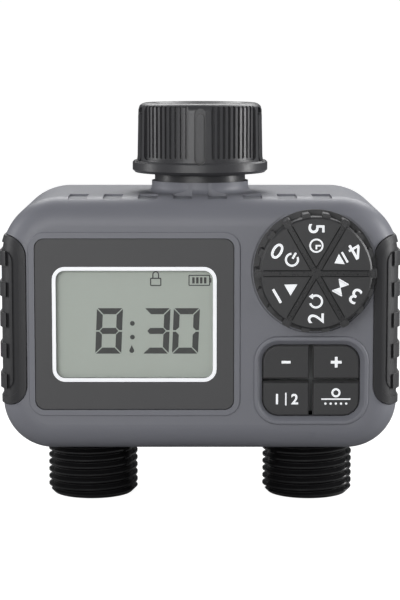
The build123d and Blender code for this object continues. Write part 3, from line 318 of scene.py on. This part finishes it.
def pvc_insulation(name, left, right):
    """PVC insulated leads: one colour on each side of the middle."""
    material, place = new_material(name)
    side = add_node(material, "ShaderNodeSeparateXYZ", {"Vector": place}, "X")
    on_right = add_node(material, "ShaderNodeMath", {0: side, 1: 0.0}, operation="GREATER_THAN")
    tone = add_node(material, "ShaderNodeMixRGB",
                    {"Fac": on_right, "Color1": linear(left), "Color2": linear(right)})
    grain = add_node(material, "ShaderNodeTexNoise", {"Vector": place, "Scale": per_mm(1.5), "Detail": 1.0})
    dullness = add_node(material, "ShaderNodeMapRange",
                        {"Value": grain, **NOISE_RANGE, "To Min": 0.35, "To Max": 0.45})
    return finish_shader(material, Base_Color=tone, Roughness=dullness)


def printed_cell_sleeve(bottom, top):
    """A dry cell's shrink sleeve: dark for most of its length, with a coppery band at its positive end. The
    right cell stands upright and the left one upside down."""
    material, place = new_material("printed_cell_sleeve")
    middle = (bottom + top) / 2
    height = add_node(material, "ShaderNodeSeparateXYZ", {"Vector": place}, "Z")
    side = add_node(material, "ShaderNodeSeparateXYZ", {"Vector": place}, "X")
    above = add_node(material, "ShaderNodeMath", {0: height, 1: middle}, operation="SUBTRACT")
    upright = add_node(material, "ShaderNodeMath", {0: side}, operation="SIGN")
    along = add_node(material, "ShaderNodeMath", {0: above, 1: upright}, operation="MULTIPLY")
    band_start = (top - middle) * 0.45
    band = add_node(material, "ShaderNodeMath", {0: along, 1: band_start}, operation="GREATER_THAN")
    tone = add_node(material, "ShaderNodeMixRGB",
                    {"Fac": band, "Color1": linear("#23252a"), "Color2": linear("#b5713a")})
    metal = add_node(material, "ShaderNodeMapRange", {"Value": band, "To Min": 0.0, "To Max": 0.6})
    wrinkle = add_node(material, "ShaderNodeTexNoise", {"Vector": place, "Scale": per_mm(4.0), "Detail": 2.0})
    normal = add_node(material, "ShaderNodeBump", {"Height": wrinkle, "Distance": 0.03 * MM, "Strength": 0.5})
    return finish_shader(material, Base_Color=tone, Metallic=metal, Roughness=0.28, Normal=normal)


# ---------------------------------------------------------------- mesh helpers

def mesh_object(name, mesh, material, body):
    """Adds a mesh to the scene as a named piece with its material, slot and body."""
    mesh.name = name
    mesh.materials.clear()
    mesh.materials.append(material)
    piece = bpy.data.objects.new(name, mesh)
    bpy.context.scene.collection.objects.link(piece)
    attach(piece, body)
    return piece


def flat_shapes(outlines, depth=PRINT_DEPTH):
    """A mesh of flat plates from closed outlines. Each is a list of loops: the outside, then its holes."""
    curve = bpy.data.curves.new("plates", "CURVE")
    curve.dimensions = "2D"
    curve.fill_mode = "BOTH"
    curve.extrude = depth / 2
    for loops in outlines:
        for loop in loops:
            spline = curve.splines.new("POLY")
            spline.points.add(len(loop) - 1)
            for point, (x, y) in zip(spline.points, loop):
                point.co = (x, y, 0, 1)
            spline.use_cyclic_u = True
    return mesh_from_curve(curve)


def mesh_from_curve(curve):
    """Turns a filled curve or a text into a plain mesh."""
    holder = bpy.data.objects.new("holder", curve)
    mesh = bpy.data.meshes.new_from_object(holder)
    bpy.data.objects.remove(holder)
    tidy = bmesh.new()
    tidy.from_mesh(mesh)
    bmesh.ops.remove_doubles(tidy, verts=tidy.verts, dist=0.002 * MM)
    bmesh.ops.dissolve_degenerate(tidy, edges=tidy.edges, dist=0.001 * MM)
    tidy.to_mesh(mesh)
    tidy.free()
    return mesh


def text_mesh(text, height, depth=PRINT_DEPTH, weight=0.0):
    """Centred text in the built-in sans face, with capitals and digits of that height."""
    curve = bpy.data.curves.new("text", "FONT")
    curve.body = text
    curve.size = height / 0.72
    curve.align_x = "CENTER"
    curve.align_y = "CENTER"
    curve.extrude = depth / 2
    curve.offset = weight
    curve.resolution_u = 6
    mesh = mesh_from_curve(curve)
    low = [min(v.co[i] for v in mesh.vertices) for i in range(2)]
    high = [max(v.co[i] for v in mesh.vertices) for i in range(2)]
    mesh.transform(Matrix.Translation((-(low[0] + high[0]) / 2, -(low[1] + high[1]) / 2, 0)))
    return mesh


def joined(meshes):
    """One mesh from several."""
    whole = bmesh.new()
    for mesh in meshes:
        whole.from_mesh(mesh)
    mesh = bpy.data.meshes.new("joined")
    whole.to_mesh(mesh)
    whole.free()
    return mesh


def face_front(mesh, x, y, z, turn=0.0):
    """Turns a flat drawing by an angle and puts its middle at a point, facing the front."""
    mesh.transform(Matrix.Translation((x, y, z)) @ FACING @ Matrix.Rotation(turn, 4, "Z"))
    return mesh


def lay_on(mesh, node, proud):
    """Moves each point of a front-facing drawing along Y on to a CAD node, its front standing proud."""
    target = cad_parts[node]
    far = CAD_BOX[0].y - 0.05
    middle = sum(v.co.y for v in mesh.vertices) / len(mesh.vertices)
    for vertex in mesh.vertices:
        hit, place, _, _ = target.ray_cast(Vector((vertex.co.x, far, vertex.co.z)), Vector((0, 1, 0)))
        if not hit:
            raise RuntimeError(f"{node} has no face in front of a marking")
        vertex.co.y = place.y - proud if vertex.co.y < middle else place.y + proud
    return mesh


def circle(radius, x=0.0, y=0.0, steps=48, start=0.0, end=math.tau):
    """Points round a circle, or along an arc of one."""
    last = steps if end - start >= math.tau else steps - 1
    return [(x + radius * math.cos(start + (end - start) * i / last),
             y + radius * math.sin(start + (end - start) * i / last)) for i in range(steps)]


def rounded_box(width, height, radius, x=0.0, y=0.0, steps=10):
    """Points round a rectangle with round corners."""
    points = []
    for corner, (sx, sy) in enumerate(((1, 1), (-1, 1), (-1, -1), (1, -1))):
        start = corner * math.pi / 2
        points += circle(radius, x + sx * (width / 2 - radius), y + sy * (height / 2 - radius), steps,
                         start, start + math.pi / 2)
    return points


def bar(x0, y0, x1, y1, width):
    """A straight bar between two points."""
    along = Vector((x1 - x0, y1 - y0)).normalized() * width / 2
    side = Vector((-along.y, along.x))
    return [(x0 + side.x, y0 + side.y), (x0 - side.x, y0 - side.y), (x1 - side.x, y1 - side.y),
            (x1 + side.x, y1 + side.y)]


def smooth_by_angle(node, degrees=32.0):
    """Shades a CAD node smoothly, with creases only at its real edges."""
    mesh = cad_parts[node].data
    if not mesh.polygons:
        return
    work = bmesh.new()
    work.from_mesh(mesh)
    limit = math.radians(degrees)
    sharp = [len(e.link_faces) != 2 or e.calc_face_angle(0) > limit for e in work.edges]
    work.free()
    mesh.polygons.foreach_set("use_smooth", [True] * len(mesh.polygons))
    flags = mesh.attributes.get("sharp_edge") or mesh.attributes.new("sharp_edge", "BOOLEAN", "EDGE")
    flags.data.foreach_set("value", sharp)
    mesh.update()


def finish_nodes(material, *nodes):
    """Gives CAD nodes a material in place of their plain colour."""
    for node in nodes:
        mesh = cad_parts[node].data
        mesh.materials.clear()
        mesh.materials.append(material)


def centre_of(node):
    low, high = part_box(node)
    return (low + high) / 2


# ---------------------------------------------------------------- operators

class TIMER_OT_housing(bpy.types.Operator):
    """Finishes the covers, the battery tray, the side grips and the screws."""

    bl_idname = "irrigation_timer.housing"
    bl_label = "Housing"

    def execute(self, context):
        colours = context.scene.timer_finishes
        finish_nodes(spark_eroded_abs(colours.shell), "front_cover", "rear_cover", "battery_tray")
        finish_nodes(moulded_tpe_rubber(colours.grip), "left_grip", "right_grip")
        finish_nodes(bare_metal("zinc_plated_steel", "#b9bbbd", 0.35), "housing_screws", "board_screws",
                     "bonnet_screws")
        return {"FINISHED"}


class TIMER_OT_ports(bpy.types.Operator):
    """Finishes the swivel nut, the neck, the manifold, the strainer, the two threaded outlets and the
    seals."""

    bl_idname = "irrigation_timer.ports"
    bl_label = "Nut and Outlets"

    def execute(self, context):
        colours = context.scene.timer_finishes
        finish_nodes(glass_filled_nylon(colours.nut), "union_nut", "inlet_spigot", "manifold", "left_bonnet",
                     "right_bonnet")
        finish_nodes(polished_black_abs(colours.outlet), "left_outlet", "right_outlet")
        finish_nodes(bare_metal("woven_steel_mesh", "#a9abad", 0.4, 0.6), "inlet_filter")
        finish_nodes(nitrile_rubber(), "inlet_washer", "spigot_o_ring", "outlet_o_rings", "housing_gasket",
                     "tray_seal", "dial_seal", "left_diaphragm", "right_diaphragm")
        return {"FINISHED"}


class TIMER_OT_display(bpy.types.Operator):
    """Finishes the display's panel, window and cell."""

    bl_idname = "irrigation_timer.display"
    bl_label = "Display"

    def execute(self, context):
        colours = context.scene.timer_finishes
        finish_nodes(matt_screen_sheet(colours.panel), "display_bezel")
        finish_nodes(clear_polycarbonate(), "display_window")
        finish_nodes(lcd_reflector(colours.lcd), "lcd_panel")
        return {"FINISHED"}


class TIMER_OT_border(bpy.types.Operator):
    """Prints the white line round the display's window."""

    bl_idname = "irrigation_timer.border"
    bl_label = "Window Border"

    def execute(self, context):
        line = context.scene.timer_sizes.border_line
        low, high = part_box("display_window")
        panel_low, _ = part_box("display_bezel")
        lip = 1.5 * MM
        inner = (high.x - low.x - 2 * lip, high.z - low.z - 2 * lip)
        corner = 2.6 * MM
        loops = [rounded_box(inner[0] + 2 * line, inner[1] + 2 * line, corner + line),
                 rounded_box(inner[0], inner[1], corner)]
        middle = centre_of("display_window")
        mesh = face_front(flat_shapes([loops]), middle.x, panel_low.y, middle.z)
        mesh_object("window_border", mesh, bpy.data.materials["screen_ink"], "housing")
        return {"FINISHED"}


class TIMER_OT_segments(bpy.types.Operator):
    """Draws the clock's digits, its colon and the pictograms on the liquid crystal cell."""

    bl_idname = "irrigation_timer.segments"
    bl_label = "Display Segments"

    def execute(self, context):
        sizes = context.scene.timer_sizes
        low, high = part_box("lcd_panel")
        middle = (low + high) / 2
        outlines = []
        for character, x in (("8", -7.35), ("3", 6.3), ("0", 14.75)):
            outlines += segment_digit(character, x * MM, -2.15 * MM, sizes.digit_width, sizes.digit_height,
                                      sizes.segment_width)
        for height in (0.05, -3.95):
            outlines.append([circle(0.68 * MM, -0.65 * MM, height * MM)])
        outlines += drop(-0.85 * MM, -7.4 * MM, 2.3 * MM)
        outlines += padlock(6.1 * MM, 13.0 * MM, 4.3 * MM)
        outlines += battery_gauge(18.6 * MM, 12.5 * MM, 6.2 * MM, 3.2 * MM)
        mesh = face_front(flat_shapes(outlines), middle.x, low.y, middle.z)
        ink = liquid_crystal(context.scene.timer_finishes.segment)
        mesh_object("display_segments", mesh, ink, "housing")
        return {"FINISHED"}


def segment_digit(character, x, y, width, height, line):
    """The lit bars of a seven-segment digit, mitred at their ends and slanted a little."""
    lit = {"0": "abcdef", "3": "abcdg", "8": "abcdefg"}[character]
    gap = 0.22 * MM
    w, h, t = width / 2, height / 2, line
    m = t / 2
    bars = {
        "a": [(-w + gap, h), (w - gap, h), (w - t - gap, h - t), (-w + t + gap, h - t)],
        "d": [(-w + gap, -h), (w - gap, -h), (w - t - gap, -h + t), (-w + t + gap, -h + t)],
        "b": [(w, h - gap), (w, gap), (w - m, gap), (w - t, m + gap), (w - t, h - t - gap)],
        "f": [(-w, h - gap), (-w, gap), (-w + m, gap), (-w + t, m + gap), (-w + t, h - t - gap)],
        "c": [(w, -h + gap), (w, -gap), (w - m, -gap), (w - t, -m - gap), (w - t, -h + t + gap)],
        "e": [(-w, -h + gap), (-w, -gap), (-w + m, -gap), (-w + t, -m - gap), (-w + t, -h + t + gap)],
        "g": [(-w + m + gap, 0), (-w + t + gap / 2, m), (w - t - gap / 2, m), (w - m - gap, 0),
              (w - t - gap / 2, -m), (-w + t + gap / 2, -m)],
    }
    slant = math.tan(math.radians(2.5))
    return [[[(x + px + py * slant, y + py) for px, py in bars[name]]] for name in lit]


def drop(x, y, height):
    """A water drop."""
    radius = height * 0.3
    low = y - height / 2 + radius
    points = circle(radius, x, low, 24, math.radians(150), math.radians(390))
    return [[points + [(x, y + height / 2)]]]


def padlock(x, y, height):
    """A closed padlock in outline."""
    line = 0.34 * MM
    width, body = height * 0.76, height * 0.56
    centre = y - height / 2 + body / 2
    case = [rounded_box(width, body, 0.4 * MM, x, centre),
            rounded_box(width - 2 * line, body - 2 * line, 0.15 * MM, x, centre)]
    top, radius = y - height / 2 + body, width * 0.3
    arch = y + height / 2 - radius
    outer = [(x + radius, top)] + circle(radius, x, arch, 16, 0, math.pi) + [(x - radius, top)]
    inside = radius - line
    inner = [(x - inside, top)] + circle(inside, x, arch, 16, math.pi, 0) + [(x + inside, top)]
    return [case, [outer + inner]]


def battery_gauge(x, y, width, height):
    """A battery in outline with four charge bars."""
    line = 0.3 * MM
    case = [rounded_box(width, height, 0.35 * MM, x, y),
            rounded_box(width - 2 * line, height - 2 * line, 0.15 * MM, x, y)]
    nub = rounded_box(0.35 * MM, height * 0.42, 0.1 * MM, x + width / 2 + 0.2 * MM, y, 3)
    charge = [[rounded_box(0.72 * MM, height * 0.56, 0.08 * MM, x + (i - 1.5) * 1.12 * MM, y, 3)]
              for i in range(4)]
    return [case, [nub]] + charge


class TIMER_OT_dial(bpy.types.Operator):
    """Finishes the dial and prints a number and a small sign in each of its six sectors."""

    bl_idname = "irrigation_timer.dial"
    bl_label = "Dial"

    def execute(self, context):
        colours = context.scene.timer_finishes
        sizes = context.scene.timer_sizes
        finish_nodes(matt_dial_abs(colours.dial), "dial_knob")
        middle = centre_of("selector_shaft")
        label_radius, number_shift, sign_shift = 8.6 * MM, -4.1 * MM, 0.7 * MM
        signs = {0: off_sign, 1: play_sign, 2: repeat_sign, 3: hourglass_sign, 4: start_sign, 5: clock_sign}
        meshes = []
        for number, sign in signs.items():
            angle = math.radians(150 + 60 * number)
            label = joined([shifted(numeral(number, sizes.number_height), number_shift, 0),
                            shifted(flat_shapes(sign(sizes.sign_height)), sign_shift, 0)])
            x = middle.x + label_radius * math.cos(angle)
            z = middle.z + label_radius * math.sin(angle)
            meshes.append(face_front(label, x, CAD_BOX[0].y + 2 * MM, z, angle + math.pi))
        mesh = lay_on(joined(meshes), "dial_knob", PRINT_LIFT)
        mesh_object("dial_numbers", mesh, bpy.data.materials["screen_ink"], "dial")
        # The rib tops are drawn darker and glossier than the face. The rib feet are painted shade: near-black
        # lines where shade falls.
        ribs = (("dial_rib_tops", [rib_star(0.58 * MM, 15.4 * MM)], polished_rib_abs()),
                ("dial_rib_foot_shade", rib_feet(0.68 * MM, 0.98 * MM, 14.9 * MM), dark_groove_abs()))
        for name, outlines, finish in ribs:
            mesh = face_front(flat_shapes(outlines), middle.x, CAD_BOX[0].y + 2 * MM, middle.z)
            mesh_object(name, lay_on(mesh, "dial_knob", 1.5 * PRINT_LIFT), finish, "dial")
        return {"FINISHED"}


def numeral(number, height):
    """A bold number. The 4 is drawn here, because the built-in face's 4 closes up when it is made bold."""
    if number != 4:
        return text_mesh(str(number), height, weight=0.05 * MM)
    outside = [(0.06, -0.5), (0.22, -0.5), (0.22, -0.27), (0.35, -0.27), (0.35, -0.13), (0.22, -0.13),
               (0.22, 0.5), (0.04, 0.5), (-0.36, -0.12), (-0.36, -0.27), (0.06, -0.27)]
    counter = [(0.06, -0.13), (0.06, 0.26), (-0.19, -0.13)]
    return flat_shapes([[[(x * height, y * height) for x, y in loop] for loop in (outside, counter)]])


def beside_rib(number, radius, aside):
    """A point at a radius along one of the dial's six ribs, moved square to it."""
    angle = math.radians(60 * number)
    across, up = math.cos(angle), math.sin(angle)
    return (radius * across - aside * up, radius * up + aside * across)


def between_ribs(number, aside):
    """Where two lines meet that run at one distance from a rib and from the next."""
    angle = math.radians(60 * number + 30)
    return (2 * aside * math.cos(angle), 2 * aside * math.sin(angle))


def rib_star(half_width, radius):
    """The six ribs' tops as one outline."""
    points = []
    for i in range(6):
        points += [beside_rib(i, radius, -half_width), beside_rib(i, radius, half_width),
                   between_ribs(i, half_width)]
    return [points]


def rib_feet(near, far, radius):
    """The outline of the painted rib-foot shade: a narrow line along both sides of each sector, between two
    distances from its ribs.
    """
    return [[[beside_rib(i, radius, near), between_ribs(i, near), beside_rib(i + 1, radius, -near),
              beside_rib(i + 1, radius, -far), between_ribs(i, far), beside_rib(i, radius, far)]]
            for i in range(6)]


def shifted(mesh, x, y):
    mesh.transform(Matrix.Translation((x, y, 0)))
    return mesh


def open_ring(size, line, gap_degrees, middle_degrees):
    """A ring with a gap in it."""
    gap = math.radians(gap_degrees / 2)
    middle = math.radians(middle_degrees)
    outer = circle(size / 2, 0, 0, 32, middle + gap, middle + math.tau - gap)
    inner = circle(size / 2 - line, 0, 0, 32, middle + math.tau - gap, middle + gap)
    return [outer + inner]


def off_sign(size):
    """A ring open at its top, with an upright bar."""
    line = size * 0.15
    return [open_ring(size, line, 70, 90), [bar(0, size * 0.08, 0, size * 0.56, line)]]


def play_sign(size):
    """A triangle that points along the label."""
    return [[[(-size * 0.36, size * 0.45), (-size * 0.36, -size * 0.45), (size * 0.46, 0)]]]


def repeat_sign(size):
    """An open ring that ends in an arrow head."""
    line = size * 0.15
    middle, angle = (size - line) / 2, math.radians(35)
    tip = (middle * math.cos(angle), middle * math.sin(angle))
    head = [(tip[0] - size * 0.2, tip[1] - size * 0.02), (tip[0] + size * 0.2, tip[1] - size * 0.02),
            (tip[0] + size * 0.02, tip[1] + size * 0.26)]
    return [open_ring(size, line, 75, 70), [head]]


def hourglass_sign(size):
    """Two triangles point to point, between two bars."""
    h, w = size * 0.5, size * 0.36
    top, waist = h * 0.78, size * 0.02
    return [[[(-w, top), (w, top), (waist, 0), (w, -top), (-w, -top), (-waist, 0)]],
            [bar(-w * 1.1, h * 0.92, w * 1.1, h * 0.92, size * 0.1)],
            [bar(-w * 1.1, -h * 0.92, w * 1.1, -h * 0.92, size * 0.1)]]


def start_sign(size):
    """A bar and a triangle that points along the label."""
    return [[[(-size * 0.1, size * 0.42), (-size * 0.1, -size * 0.42), (size * 0.5, 0)]],
            [bar(-size * 0.34, -size * 0.42, -size * 0.34, size * 0.42, size * 0.15)]]


def clock_sign(size):
    """A clock face with two hands."""
    line = size * 0.12
    face = [circle(size / 2, 0, 0, 40), circle(size / 2 - line, 0, 0, 40)]
    half, long, short = line / 2, size * 0.31, size * 0.25
    hands = [(-half, long), (-half, -half), (short, -half), (short, half), (half, half), (half, long)]
    return [face, [hands]]


class TIMER_OT_buttons(bpy.types.Operator):
    """Finishes the four buttons and prints their signs."""

    bl_idname = "irrigation_timer.buttons"
    bl_label = "Buttons"

    def execute(self, context):
        finish_nodes(silicone_rubber("silicone_buttons", context.scene.timer_finishes.key), "button_minus",
                     "button_plus", "button_zone", "button_ok")
        mark = context.scene.timer_sizes.key_mark
        signs = {
            "minus": flat_shapes([[bar(-mark * 0.42, 0, mark * 0.42, 0, 0.75 * MM)]]),
            "plus": flat_shapes([[plus_outline(mark, 0.8 * MM)]]),
            "zone": zone_mark(3.0 * MM),
            "ok": confirm_mark(4.4 * MM),
        }
        for name, mesh in signs.items():
            node = "button_" + name
            low, high = key_cap(node)
            face_front(mesh, (low.x + high.x) / 2, CAD_BOX[0].y, (low.z + high.z) / 2)
            mesh_object(name + "_mark", lay_on(mesh, node, PRINT_LIFT), bpy.data.materials["screen_ink"],
                        name + "_button")
        return {"FINISHED"}


def key_cap(node):
    """The corners of a button's cap, without the wider flange behind it."""
    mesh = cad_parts[node].data
    front = min(v.co.y for v in mesh.vertices)
    near = [v.co for v in mesh.vertices if v.co.y < front + 0.6 * MM]
    low = Vector([min(c[i] for c in near) for i in range(3)])
    high = Vector([max(c[i] for c in near) for i in range(3)])
    return low, high


def plus_outline(size, line):
    """A plus sign as one outline."""
    a, b = size / 2, line / 2
    return [(b, b), (b, a), (-b, a), (-b, b), (-a, b), (-a, -b), (-b, -b), (-b, -a), (b, -a), (b, -b),
            (a, -b), (a, b)]


def zone_mark(height):
    """The two outlets' numbers with a thin bar between them."""
    line = flat_shapes([[bar(0, -height * 0.62, 0, height * 0.62, 0.4 * MM)]])
    return joined([shifted(text_mesh("1", height, weight=0.1 * MM), -height * 0.85, 0), line,
                   shifted(text_mesh("2", height, weight=0.1 * MM), height * 0.85, 0)])


def confirm_mark(size):
    """A ring over a bar with a short row of dots under it."""
    line = size * 0.13
    shapes = [[circle(size * 0.3, 0, size * 0.42), circle(size * 0.3 - line, 0, size * 0.42)]]
    shapes.append([bar(-size * 0.95, 0, size * 0.95, 0, size * 0.09)])
    for i in range(5):
        shapes.append([circle(size * 0.075, (i - 2) * size * 0.34, -size * 0.3, 20)])
    return flat_shapes(shapes)


class TIMER_OT_embossing(bpy.types.Operator):
    """Raises the dial's pointer and the two outlets' numbers on the front cover."""

    bl_idname = "irrigation_timer.embossing"
    bl_label = "Embossing"

    def execute(self, context):
        shell = bpy.data.materials["spark_eroded_abs"]
        dial = centre_of("selector_shaft")
        width, height, line = 3.7 * MM, 2.9 * MM, 0.32 * MM
        aside, below, pointer_proud = 18.4 * MM, 10.8 * MM, 0.09 * MM
        outer = [(-width / 2, height / 2), (0, -height / 2), (width / 2, height / 2)]
        inset = 1 - 2.6 * line / height
        inner = [(x * inset, y * inset + 0.12 * MM) for x, y in outer]
        pointer = face_front(flat_shapes([[outer, inner]]), dial.x - aside, CAD_BOX[0].y, dial.z - below)
        mesh_object("dial_pointer", lay_on(pointer, "front_cover", pointer_proud), shell,
                    "housing")
        number_height, over_edge, number_proud = 2.4 * MM, 4.9 * MM, 0.1 * MM
        for number, node in (("1", "left_outlet"), ("2", "right_outlet")):
            mesh = face_front(text_mesh(number, number_height), centre_of(node).x, CAD_BOX[0].y,
                              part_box("front_cover")[0].z + over_edge)
            mesh_object("outlet_number_" + number, lay_on(mesh, "front_cover", number_proud), shell,
                        "housing")
        return {"FINISHED"}


class TIMER_OT_works(bpy.types.Operator):
    """Finishes the parts inside: the board, switch, valves, solenoids, leads and cells."""

    bl_idname = "irrigation_timer.works"
    bl_label = "Inside Parts"

    def execute(self, context):
        finish_nodes(glass_epoxy_board(), "main_board")
        finish_nodes(moulded("black_epoxy_moulding", linear("#26272a"), 0.4, 0.4, 0.006), "board_chips",
                     "selector_switch", "contact_pills")
        finish_nodes(moulded("natural_acetal", linear("#d9d8d2"), 0.35, 1.2, 0.004), "selector_shaft",
                     "lcd_holder", "left_valve_disc", "right_valve_disc")
        finish_nodes(silicone_rubber("grey_silicone_mat", linear("#8a8b8c")), "keypad_mat")
        steel = bare_metal("drawn_steel_can", "#b4b6b8", 0.28)
        finish_nodes(steel, "left_solenoid_case", "right_solenoid_case", "left_plunger", "right_plunger")
        finish_nodes(bare_metal("nickel_plated_spring_wire", "#c9c8c3", 0.22), "left_diaphragm_spring",
                     "right_diaphragm_spring", "left_plunger_spring", "right_plunger_spring", "cell_springs",
                     "tray_contacts", "bay_contacts")
        finish_nodes(bare_metal("enamelled_copper_wire", "#b3592a", 0.3, 0.3), "left_coil", "right_coil")
        finish_nodes(bare_metal("nickel_plated_magnet", "#8f9195", 0.25), "latch_magnets")
        finish_nodes(pvc_insulation("pvc_battery_leads", "#1b1b1c", "#a3231c"), "battery_leads")
        finish_nodes(pvc_insulation("pvc_solenoid_leads", "#a3231c", "#b8b8b6"), "left_solenoid_lead",
                     "right_solenoid_lead")
        low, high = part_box("left_cell")
        finish_nodes(printed_cell_sleeve(low.z, high.z), "left_cell", "right_cell")
        return {"FINISHED"}


# ---------------------------------------------------------------- stage

class TIMER_OT_stage(bpy.types.Operator):
    """Builds the pale floor, the studio lights and the camera."""

    bl_idname = "irrigation_timer.stage"
    bl_label = "Stage"

    def execute(self, context):
        stage = context.scene.timer_stage
        low, high = CAD_BOX
        sweep_floor(low.z)
        aim = Vector((0, 0, low.z + stage.aim))
        camera_for(aim, stage)
        studio_world(stage.ambient)
        area_light("back_softbox", aim + Vector((0.05, 0.48, 0.5)), aim, (0.8, 0.4), 4.6)
        area_light("front_softbox", aim + Vector((-0.26, -0.97, 0.14)), aim, (0.7, 0.7), 6.8)
        area_light("right_strip", aim + Vector((0.62, -0.02, 0.1)), aim, (0.12, 0.6), 3.6)
        area_light("left_strip", aim + Vector((-0.62, 0.04, 0.1)), aim, (0.12, 0.6), 1.5)
        return {"FINISHED"}


def sweep_floor(height):
    """A seamless pale sweep: a floor that curves up behind the timer."""
    front, depth, radius, width, rise = -2.5, 1.6, 0.6, 4.0, 2.2
    profile = [(front, height), (depth, height)]
    profile += [(depth + radius * math.sin(a), height + radius * (1 - math.cos(a)))
                for a in (math.radians(9 * i) for i in range(1, 11))]
    profile.append((depth + radius, height + rise))
    mesh = bpy.data.meshes.new("sweep")
    points = [(side * width / 2, y, z) for y, z in profile for side in (-1, 1)]
    faces = [(2 * i, 2 * i + 1, 2 * i + 3, 2 * i + 2) for i in range(len(profile) - 1)]
    mesh.from_pydata(points, [], faces)
    mesh.polygons.foreach_set("use_smooth", [True] * len(mesh.polygons))
    material, place = new_material("white_paper_sweep")
    paper = linear("#808080")
    fibre = add_node(material, "ShaderNodeTexNoise", {"Vector": place, "Scale": per_mm(3.0), "Detail": 2.0})
    tone = add_node(material, "ShaderNodeMixRGB",
                    {"Fac": fibre, "Color1": shade(paper, 0.995), "Color2": shade(paper, 1.0)})
    dullness = add_node(material, "ShaderNodeMapRange",
                        {"Value": fibre, **NOISE_RANGE, "To Min": 0.85, "To Max": 0.95})
    seen = add_node(material, "ShaderNodeLightPath", output="Is Camera Ray")
    glow = add_node(material, "ShaderNodeMath", {0: seen, 1: PAPER_GLOW}, operation="MULTIPLY")
    finish_shader(material, Base_Color=tone, Roughness=dullness, Emission_Color=linear("#ffffff"),
                  Emission_Strength=glow)
    mesh.materials.append(material)
    floor = bpy.data.objects.new("paper_sweep", mesh)
    bpy.context.scene.collection.objects.link(floor)


def camera_for(aim, stage):
    """The camera, looking along +Y and a little down at the point it aims at."""
    data = bpy.data.cameras.new("camera")
    data.sensor_width = 36.0
    data.lens = stage.lens
    data.clip_start, data.clip_end = 0.05, 20.0
    camera = bpy.data.objects.new("camera", data)
    back = Vector((0, -math.cos(stage.pitch), math.sin(stage.pitch)))
    camera.location = aim + back * stage.distance
    camera.rotation_euler = (math.pi / 2 - stage.pitch, 0, 0)
    bpy.context.scene.collection.objects.link(camera)
    bpy.context.scene.camera = camera


def studio_world(strength):
    """An even surround: as white as the paper to look at, and of the given strength as a light."""
    world = bpy.data.worlds.new("studio")
    world.use_nodes = True
    background = world.node_tree.nodes["Background"]
    background.inputs["Color"].default_value = linear("#f7f9ff")
    seen = add_node(world, "ShaderNodeLightPath", output="Is Camera Ray")
    level = add_node(world, "ShaderNodeMapRange",
                     {"Value": seen, "To Min": strength, "To Max": WHITE_SURROUND})
    world.node_tree.links.new(level, background.inputs["Strength"])
    bpy.context.scene.world = world


def area_light(name, place, aim, size, power):
    """A rectangular soft light that faces a point."""
    data = bpy.data.lights.new(name, "AREA")
    data.shape = "RECTANGLE"
    data.size, data.size_y = size
    data.energy = power
    light = bpy.data.objects.new(name, data)
    light.location = place
    light.rotation_euler = (aim - place).to_track_quat("-Z", "Y").to_euler()
    bpy.context.scene.collection.objects.link(light)


# ---------------------------------------------------------------- panel and registration

OPERATORS = (TIMER_OT_housing, TIMER_OT_ports, TIMER_OT_display, TIMER_OT_border, TIMER_OT_segments,
             TIMER_OT_dial, TIMER_OT_buttons, TIMER_OT_embossing, TIMER_OT_works, TIMER_OT_stage)


class TIMER_PT_looks(bpy.types.Panel):
    """Lists the timer's sizes, colours and operators in the sidebar."""

    bl_idname = "TIMER_PT_looks"
    bl_label = "Irrigation Timer"
    bl_space_type = "VIEW_3D"
    bl_region_type = "UI"
    bl_category = "Irrigation Timer"

    def draw(self, context):
        scene = context.scene
        for settings in (scene.timer_finishes, scene.timer_sizes, scene.timer_stage):
            column = self.layout.column(align=True)
            for name in settings.bl_rna.properties.keys():
                if name not in ("rna_type", "name"):
                    column.prop(settings, name)
        for operator in OPERATORS:
            self.layout.operator(operator.bl_idname)


CLASSES = (TimerFinishes, TimerSizes, TimerStage, *OPERATORS, TIMER_PT_looks)


def register():
    for cls in CLASSES:
        bpy.utils.register_class(cls)
    bpy.types.Scene.timer_finishes = bpy.props.PointerProperty(type=TimerFinishes)
    bpy.types.Scene.timer_sizes = bpy.props.PointerProperty(type=TimerSizes)
    bpy.types.Scene.timer_stage = bpy.props.PointerProperty(type=TimerStage)


def unregister():
    del bpy.types.Scene.timer_finishes
    del bpy.types.Scene.timer_sizes
    del bpy.types.Scene.timer_stage
    for cls in reversed(CLASSES):
        bpy.utils.unregister_class(cls)


def main():
    """Registers the add-on, makes the ink that several operators print with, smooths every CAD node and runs
    the operators in order."""
    register()
    bpy.context.scene.view_settings.view_transform = "Standard"
    screen_ink(bpy.context.scene.timer_finishes.ink)
    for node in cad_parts:
        smooth_by_angle(node)
    for operator in OPERATORS:
        group, name = operator.bl_idname.split(".")
        getattr(getattr(bpy.ops, group), name)()


if __name__ == "__main__":
    main()
